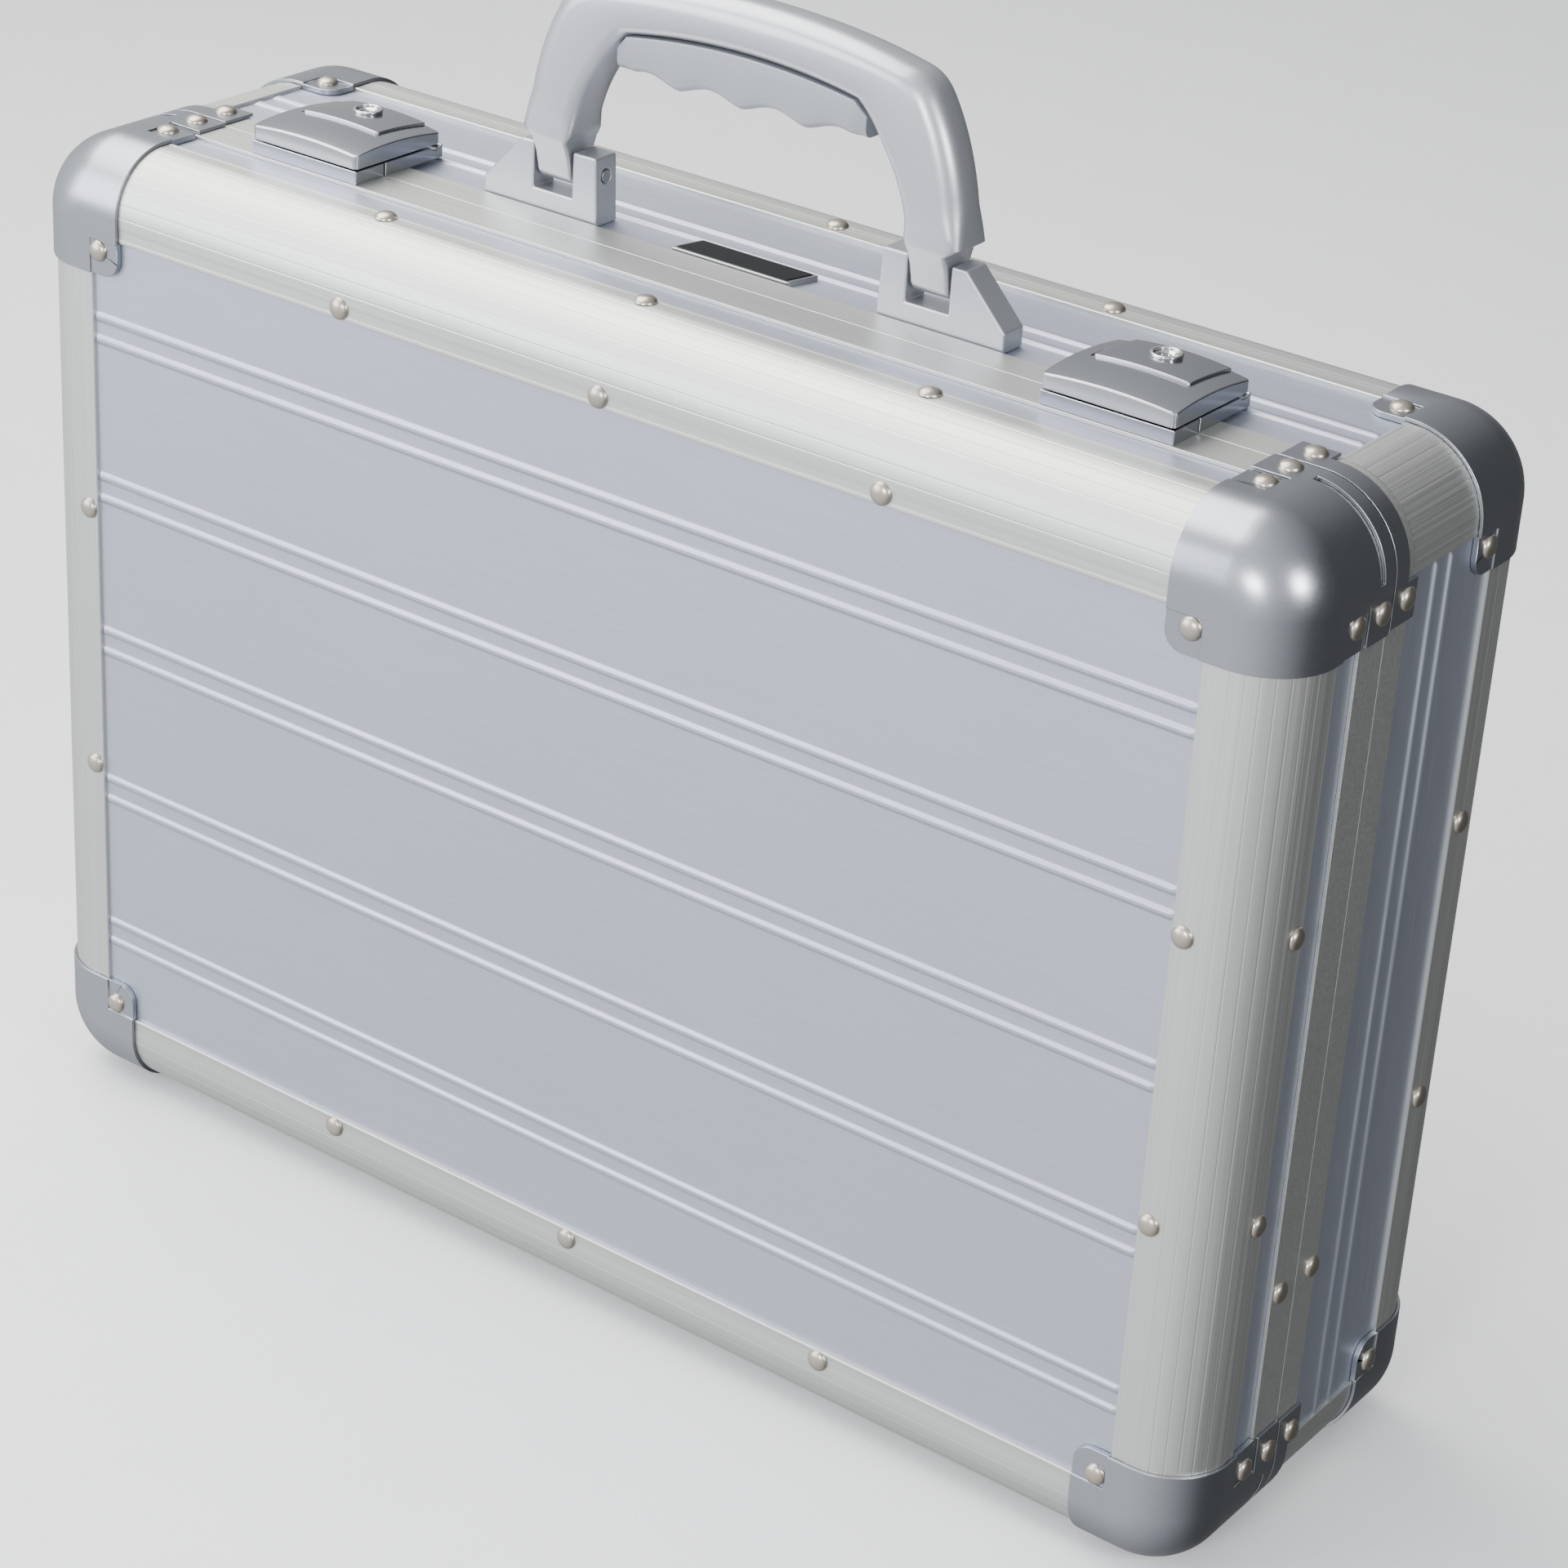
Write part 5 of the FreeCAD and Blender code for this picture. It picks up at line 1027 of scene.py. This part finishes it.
class CASE_OT_lining(bpy.types.Operator):
    """Cloth linings with piping under the rims"""

    bl_idname = "case.lining"
    bl_label = "Lining"

    def execute(self, context):
        shape = context.scene.case_shape
        for shell, inwards in (("lid", 1), ("base", -1)):
            node = f"{shell}_lining"
            low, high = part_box(node)
            floor = low.y if inwards > 0 else high.y
            rim = high.y if inwards > 0 else low.y
            inset = RIGHT - high.x
            self.tray(node, inset, floor, rim, inwards, shape)
            self.piping(shell, inset, rim, inwards, shape)
        return {"FINISHED"}

    def tray(self, node, inset, floor, rim, inwards, shape):
        """A closed skin of cloth: rings run down the wall, round the bend and over the floor to its
        middle, outside and then back inside. The base's floor swells as the root of the distance from
        the bend. The outside and the inside each end in one face, and a strip joins them at the rim."""
        cloth, bend, bend_start = 1.2 * MM, 13.0 * MM, 19.0 * MM
        lift = 0.0 if inwards > 0 else 1.6 * MM
        turn = np.linspace(0, math.pi / 2, 8)
        far = np.linspace(bend + 2 * MM, 150 * MM, 14)
        swell = lift * np.clip((far - bend) / (30 * MM), 0, 1) ** 0.5
        wall_y = [rim - floor, bend_start * inwards]
        bend_y = bend * (1 - np.cos(turn[::-1]))
        out_inset = np.concatenate([[0, 0], bend * (1 - np.sin(turn[::-1])), far])
        out_y = np.concatenate([wall_y, inwards * bend_y, 0 * far])
        in_inset = out_inset * (1 - cloth / bend) + cloth
        in_inset[-len(far):] = far + cloth
        in_y = np.concatenate([wall_y, inwards * (bend_y * (1 - cloth / bend) + cloth),
                               inwards * (cloth + swell)])
        insets = np.concatenate([out_inset, in_inset[::-1]])
        points = case_ring(inset + insets, floor + np.concatenate([out_y, in_y[::-1]]), shape.corner_radius)
        count, ring = points.shape[:2]
        outside, inside = (count // 2 - 1) * ring, count // 2 * ring
        faces = [face for face in loft_faces(count, ring) if not outside <= min(face) < inside]
        faces += [list(range(outside, inside)), list(range(inside, inside + ring))]
        last = (count - 1) * ring
        faces += [[j, (j + 1) % ring, last + (j + 1) % ring, last + j] for j in range(ring)]
        new_piece(node + "_cloth", points, faces, MATERIALS["cloth"], BODY_OF[node], SLOT_OF[node], (node,),
                  crease=50.0, uv_scale=1.0)

    def piping(self, shell, inset, rim, inwards, shape):
        """A round cord sewn along the lining under the rim."""
        radius, cloth, under_rim = 1.3 * MM, 1.2 * MM, 6.2 * MM
        bead = np.linspace(0, 2 * math.pi, 12, endpoint=False)
        rings = case_ring(inset + cloth + radius * (1 - np.cos(bead)) * 0.9,
                          rim - inwards * under_rim + radius * np.sin(bead), shape.corner_radius, 10)
        points = np.concatenate([rings, rings[:1]])
        new_piece(f"{shell}_piping", points, loft_faces(13, points.shape[1]), MATERIALS["leather"],
                  BODY_OF[f"{shell}_lining"], SLOT_OF[f"{shell}_lining"], crease=60.0)


class CASE_OT_organiser(bpy.types.Operator):
    """Leather organiser in the lid: a panel, three pockets and their stitching"""

    bl_idname = "case.organiser"
    bl_label = "Organiser"

    def execute(self, context):
        """The pockets' heights are shares of the panel's, and each pocket lies on the one behind."""
        shape = context.scene.case_shape
        low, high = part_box("document_pocket")
        self.seams = []
        half_x, tall, middle = (high.x - low.x) / 2, high.z - low.z, (low.x + high.x) / 2
        self.layer("organiser_panel", (middle, low.z + 0.5 * tall), half_x, 0.5 * tall, low.y, 1.3 * MM,
                   9 * MM, ("document_pocket",))
        self.layer("organiser_wide_pocket", (middle, low.z + 0.34 * tall), half_x - 1.5 * MM, 0.33 * tall,
                   low.y + 1.1 * MM, 1.5 * MM, 8 * MM)
        for side, sign in (("left", -1), ("right", 1)):
            self.layer(f"organiser_{side}_pocket", (middle + sign * 0.5 * half_x, low.z + 0.235 * tall),
                       0.46 * half_x, 0.2 * tall, low.y + 2.4 * MM, 1.5 * MM, 7 * MM)
        self.sew(shape)
        return {"FINISHED"}

    def layer(self, name, centre, half_x, half_z, back, thick, corner, stands_for=()):
        """A thin layer of leather facing +Y: rounded rings climb its edge and close over its face."""
        edge, hem = 0.55 * MM, 3 * MM
        turn = np.linspace(0, math.pi / 2, 5)
        inner = np.linspace(edge, half_z - 0.5 * MM, 10)[1:]
        inset = np.concatenate([[0.0], edge * (1 - np.cos(turn)), inner])
        crown = 0.175 * MM * np.sin(np.clip(inner / half_z, 0, 1) * math.pi / 2)
        face = np.where(inner < 4 * MM, thick - 0.25 * MM, thick + crown)
        rise = np.concatenate([[0.0], thick - edge * (1 - np.sin(turn)), face])
        x, z = rounded_outline(half_x - inset, half_z - inset, np.maximum(corner - inset, 0.4 * MM), 8)
        y = back + np.broadcast_to(rise[:, None], x.shape)
        points = np.stack([x + centre[0], y, z + centre[1]], -1)
        rings, ring = x.shape
        new_piece(name, points, loft_faces(rings, ring) + fan_caps(rings, ring), MATERIALS["leather"],
                  "lid", SLOT_OF["document_pocket"], stands_for, crease=50.0)
        self.seams.append((centre, half_x - hem, half_z - hem, max(corner - hem, 1 * MM),
                           back + thick - 0.1 * MM))

    def sew(self, shape):
        """Stitches: short six-sided spindles in a row along each seam line."""
        turn = np.linspace(0, 2 * math.pi, 6, endpoint=False)
        along = np.array([-0.5, -0.3, 0.3, 0.5])
        girth = np.array([0.1, 1.0, 1.0, 0.1]) * 0.28 * MM
        points = []
        for centre, half_x, half_z, corner, y in self.seams:
            x, z = rounded_outline(half_x, half_z, corner, 12)
            line = np.stack([x[0] + centre[0], z[0] + centre[1]], -1)
            line = np.concatenate([line, line[:1]])
            step = np.linalg.norm(np.diff(line, axis=0), axis=1)
            travelled = np.concatenate([[0], np.cumsum(step)])
            count = int(travelled[-1] / shape.stitch_pitch)
            at = np.arange(count) * travelled[-1] / count
            place = np.stack([np.interp(at, travelled, line[:, k]) for k in (0, 1)], -1)
            ahead = np.stack([np.interp(at + 0.2 * MM, travelled, line[:, k]) for k in (0, 1)], -1)
            way = (ahead - place) / np.linalg.norm(ahead - place, axis=1)[:, None]
            side = np.stack([-way[:, 1], way[:, 0]], -1)
            flat = (place[:, None, None] + way[:, None, None] * (along * shape.stitch)[:, None, None]
                    + side[:, None, None] * (girth[:, None] * np.cos(turn))[..., None])
            lift = y + (girth[:, None] * np.sin(turn))[None] + np.zeros((count, 1, 1))
            points.append(np.stack([flat[..., 0], lift, flat[..., 1]], -1).reshape(count, -1, 3))
        points = np.concatenate(points)
        one = loft_faces(len(along), len(turn)) + fan_caps(len(along), len(turn))
        faces = repeated(one, len(along) * len(turn), len(points))
        new_piece("organiser_stitches", points, faces, MATERIALS["thread"], "lid",
                  SLOT_OF["document_pocket"])


# ---- Stage ----------------------------------------------------------------------------------------
class CASE_OT_stage(bpy.types.Operator):
    """Floor, lights and camera"""

    bl_idname = "case.stage"
    bl_label = "Stage"

    def execute(self, context):
        stage = context.scene.case_stage
        self.floor()
        self.world(context.scene, stage)
        aim = Vector(stage.aim)
        warm, cool, white = (1.0, 0.975, 0.93), (0.93, 0.96, 1.0), (1, 1, 1)
        self.softbox("overhead", (-0.75, -0.1, 1.5), aim, 1.5, 1.1, stage.overhead, warm)
        self.softbox("front", (-1.3, -1.5, 0.8), aim, 1.4, 1.2, stage.front, cool)
        for place in ((0.39, -1.34, 0.65), (1.29, -0.38, 0.76)):
            self.softbox("lamp", place, aim, stage.lamp_width, stage.lamp_width, stage.lamp, white)
        self.camera(context.scene, stage, aim)
        return {"FINISHED"}

    def floor(self):
        """A wide paper sheet on the floor. The metal doesn't mirror it, so that the case keeps the
        contrast of a piece shot over a dark table."""
        reach = 30.0  # metres, past anything that the camera sees
        mesh = bpy.data.meshes.new("paper")
        mesh.from_pydata([(-reach, -reach, 0), (reach, -reach, 0), (reach, reach, 0), (-reach, reach, 0)],
                         [], [(0, 1, 2, 3)])
        mesh.materials.append(MATERIALS["paper"])
        paper = bpy.data.objects.new("paper", mesh)
        paper.visible_glossy = False
        bpy.context.scene.collection.objects.link(paper)

    def world(self, scene, stage):
        """A soft room that is bright towards the left front and dark towards the right, back and
        floor: its strength goes by the angle to one axis."""
        sky = scene.world or bpy.data.worlds.new("studio")
        scene.world = sky
        sky.use_nodes = True
        tree = sky.node_tree
        tree.nodes.clear()
        place = add_node(tree, "ShaderNodeTexCoord")
        towards_light = (-0.6, -0.74, 0.3)
        along = add_node(tree, "ShaderNodeVectorMath",
                         {0: place.outputs["Generated"], 1: towards_light}, operation="DOT_PRODUCT")
        strength = ranged(tree, along.outputs["Value"], stage.dark, stage.bright, -0.7, 0.7)
        back = add_node(tree, "ShaderNodeBackground", {"Color": (0.96, 0.98, 1.0, 1), "Strength": strength})
        out = add_node(tree, "ShaderNodeOutputWorld")
        tree.links.new(back.outputs["Background"], out.inputs["Surface"])

    def softbox(self, name, place, aim, width, height, power, tint):
        """A flat lamp that faces the aim."""
        data = bpy.data.lights.new(name, "AREA")
        data.shape = "RECTANGLE"
        data.size, data.size_y, data.energy, data.color = width, height, power, tint
        lamp = bpy.data.objects.new(name, data)
        lamp.location = place
        lamp.rotation_euler = (aim - Vector(place)).to_track_quat("-Z", "Y").to_euler()
        bpy.context.scene.collection.objects.link(lamp)

    def camera(self, scene, stage, aim):
        """The camera stands off the aim by its azimuth and elevation, and is turned by its roll."""
        across = math.cos(stage.elevation)
        back = Vector((math.sin(stage.azimuth) * across, -math.cos(stage.azimuth) * across,
                       math.sin(stage.elevation)))
        data = bpy.data.cameras.new("camera")
        data.lens, data.sensor_width = stage.lens, 36.0
        data.clip_start, data.clip_end = 0.05, 100.0
        camera = bpy.data.objects.new("camera", data)
        turn = (-back).to_track_quat("-Z", "Y").to_matrix().to_4x4() @ Matrix.Rotation(stage.roll, 4, "Z")
        camera.matrix_world = Matrix.Translation(aim + back * stage.distance) @ turn
        scene.collection.objects.link(camera)
        scene.camera = camera


class CASE_PT_panel(bpy.types.Panel):
    """Lists the settings and the operators of the case"""

    bl_label = "Attache case"
    bl_idname = "CASE_PT_panel"
    bl_space_type = "VIEW_3D"
    bl_region_type = "UI"
    bl_category = "Case"

    def draw(self, context):
        layout = self.layout
        for operator in BUILDERS:
            layout.operator(operator.bl_idname)
        for settings in (context.scene.case_shape, context.scene.case_finish, context.scene.case_stage):
            column = layout.box().column()
            for name in settings.__annotations__:
                column.prop(settings, name)


SETTINGS = {"case_shape": CaseShape, "case_finish": CaseFinish, "case_stage": CaseStage}
BUILDERS = (CASE_OT_extrusions, CASE_OT_panels, CASE_OT_castings, CASE_OT_rivets, CASE_OT_handle,
            CASE_OT_latches, CASE_OT_lining, CASE_OT_organiser, CASE_OT_stage)
MATERIALS = {}  # filled by main
RIVETS = []  # filled by rivet_places


def register():
    """Adds the settings, the operators and the panel to Blender."""
    for kind in (*SETTINGS.values(), *BUILDERS, CASE_PT_panel):
        bpy.utils.register_class(kind)
    for name, kind in SETTINGS.items():
        setattr(bpy.types.Scene, name, PointerProperty(type=kind))


def unregister():
    """Takes them away again."""
    for name in SETTINGS:
        delattr(bpy.types.Scene, name)
    for kind in reversed((*SETTINGS.values(), *BUILDERS, CASE_PT_panel)):
        bpy.utils.unregister_class(kind)


def main():
    """Builds the case and the stage."""
    register()
    MATERIALS.update(build_materials(bpy.context.scene.case_finish))
    for operator in BUILDERS:
        group, _, name = operator.bl_idname.partition(".")
        getattr(getattr(bpy.ops, group), name)()
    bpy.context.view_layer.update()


if __name__ == "__main__":
    main()
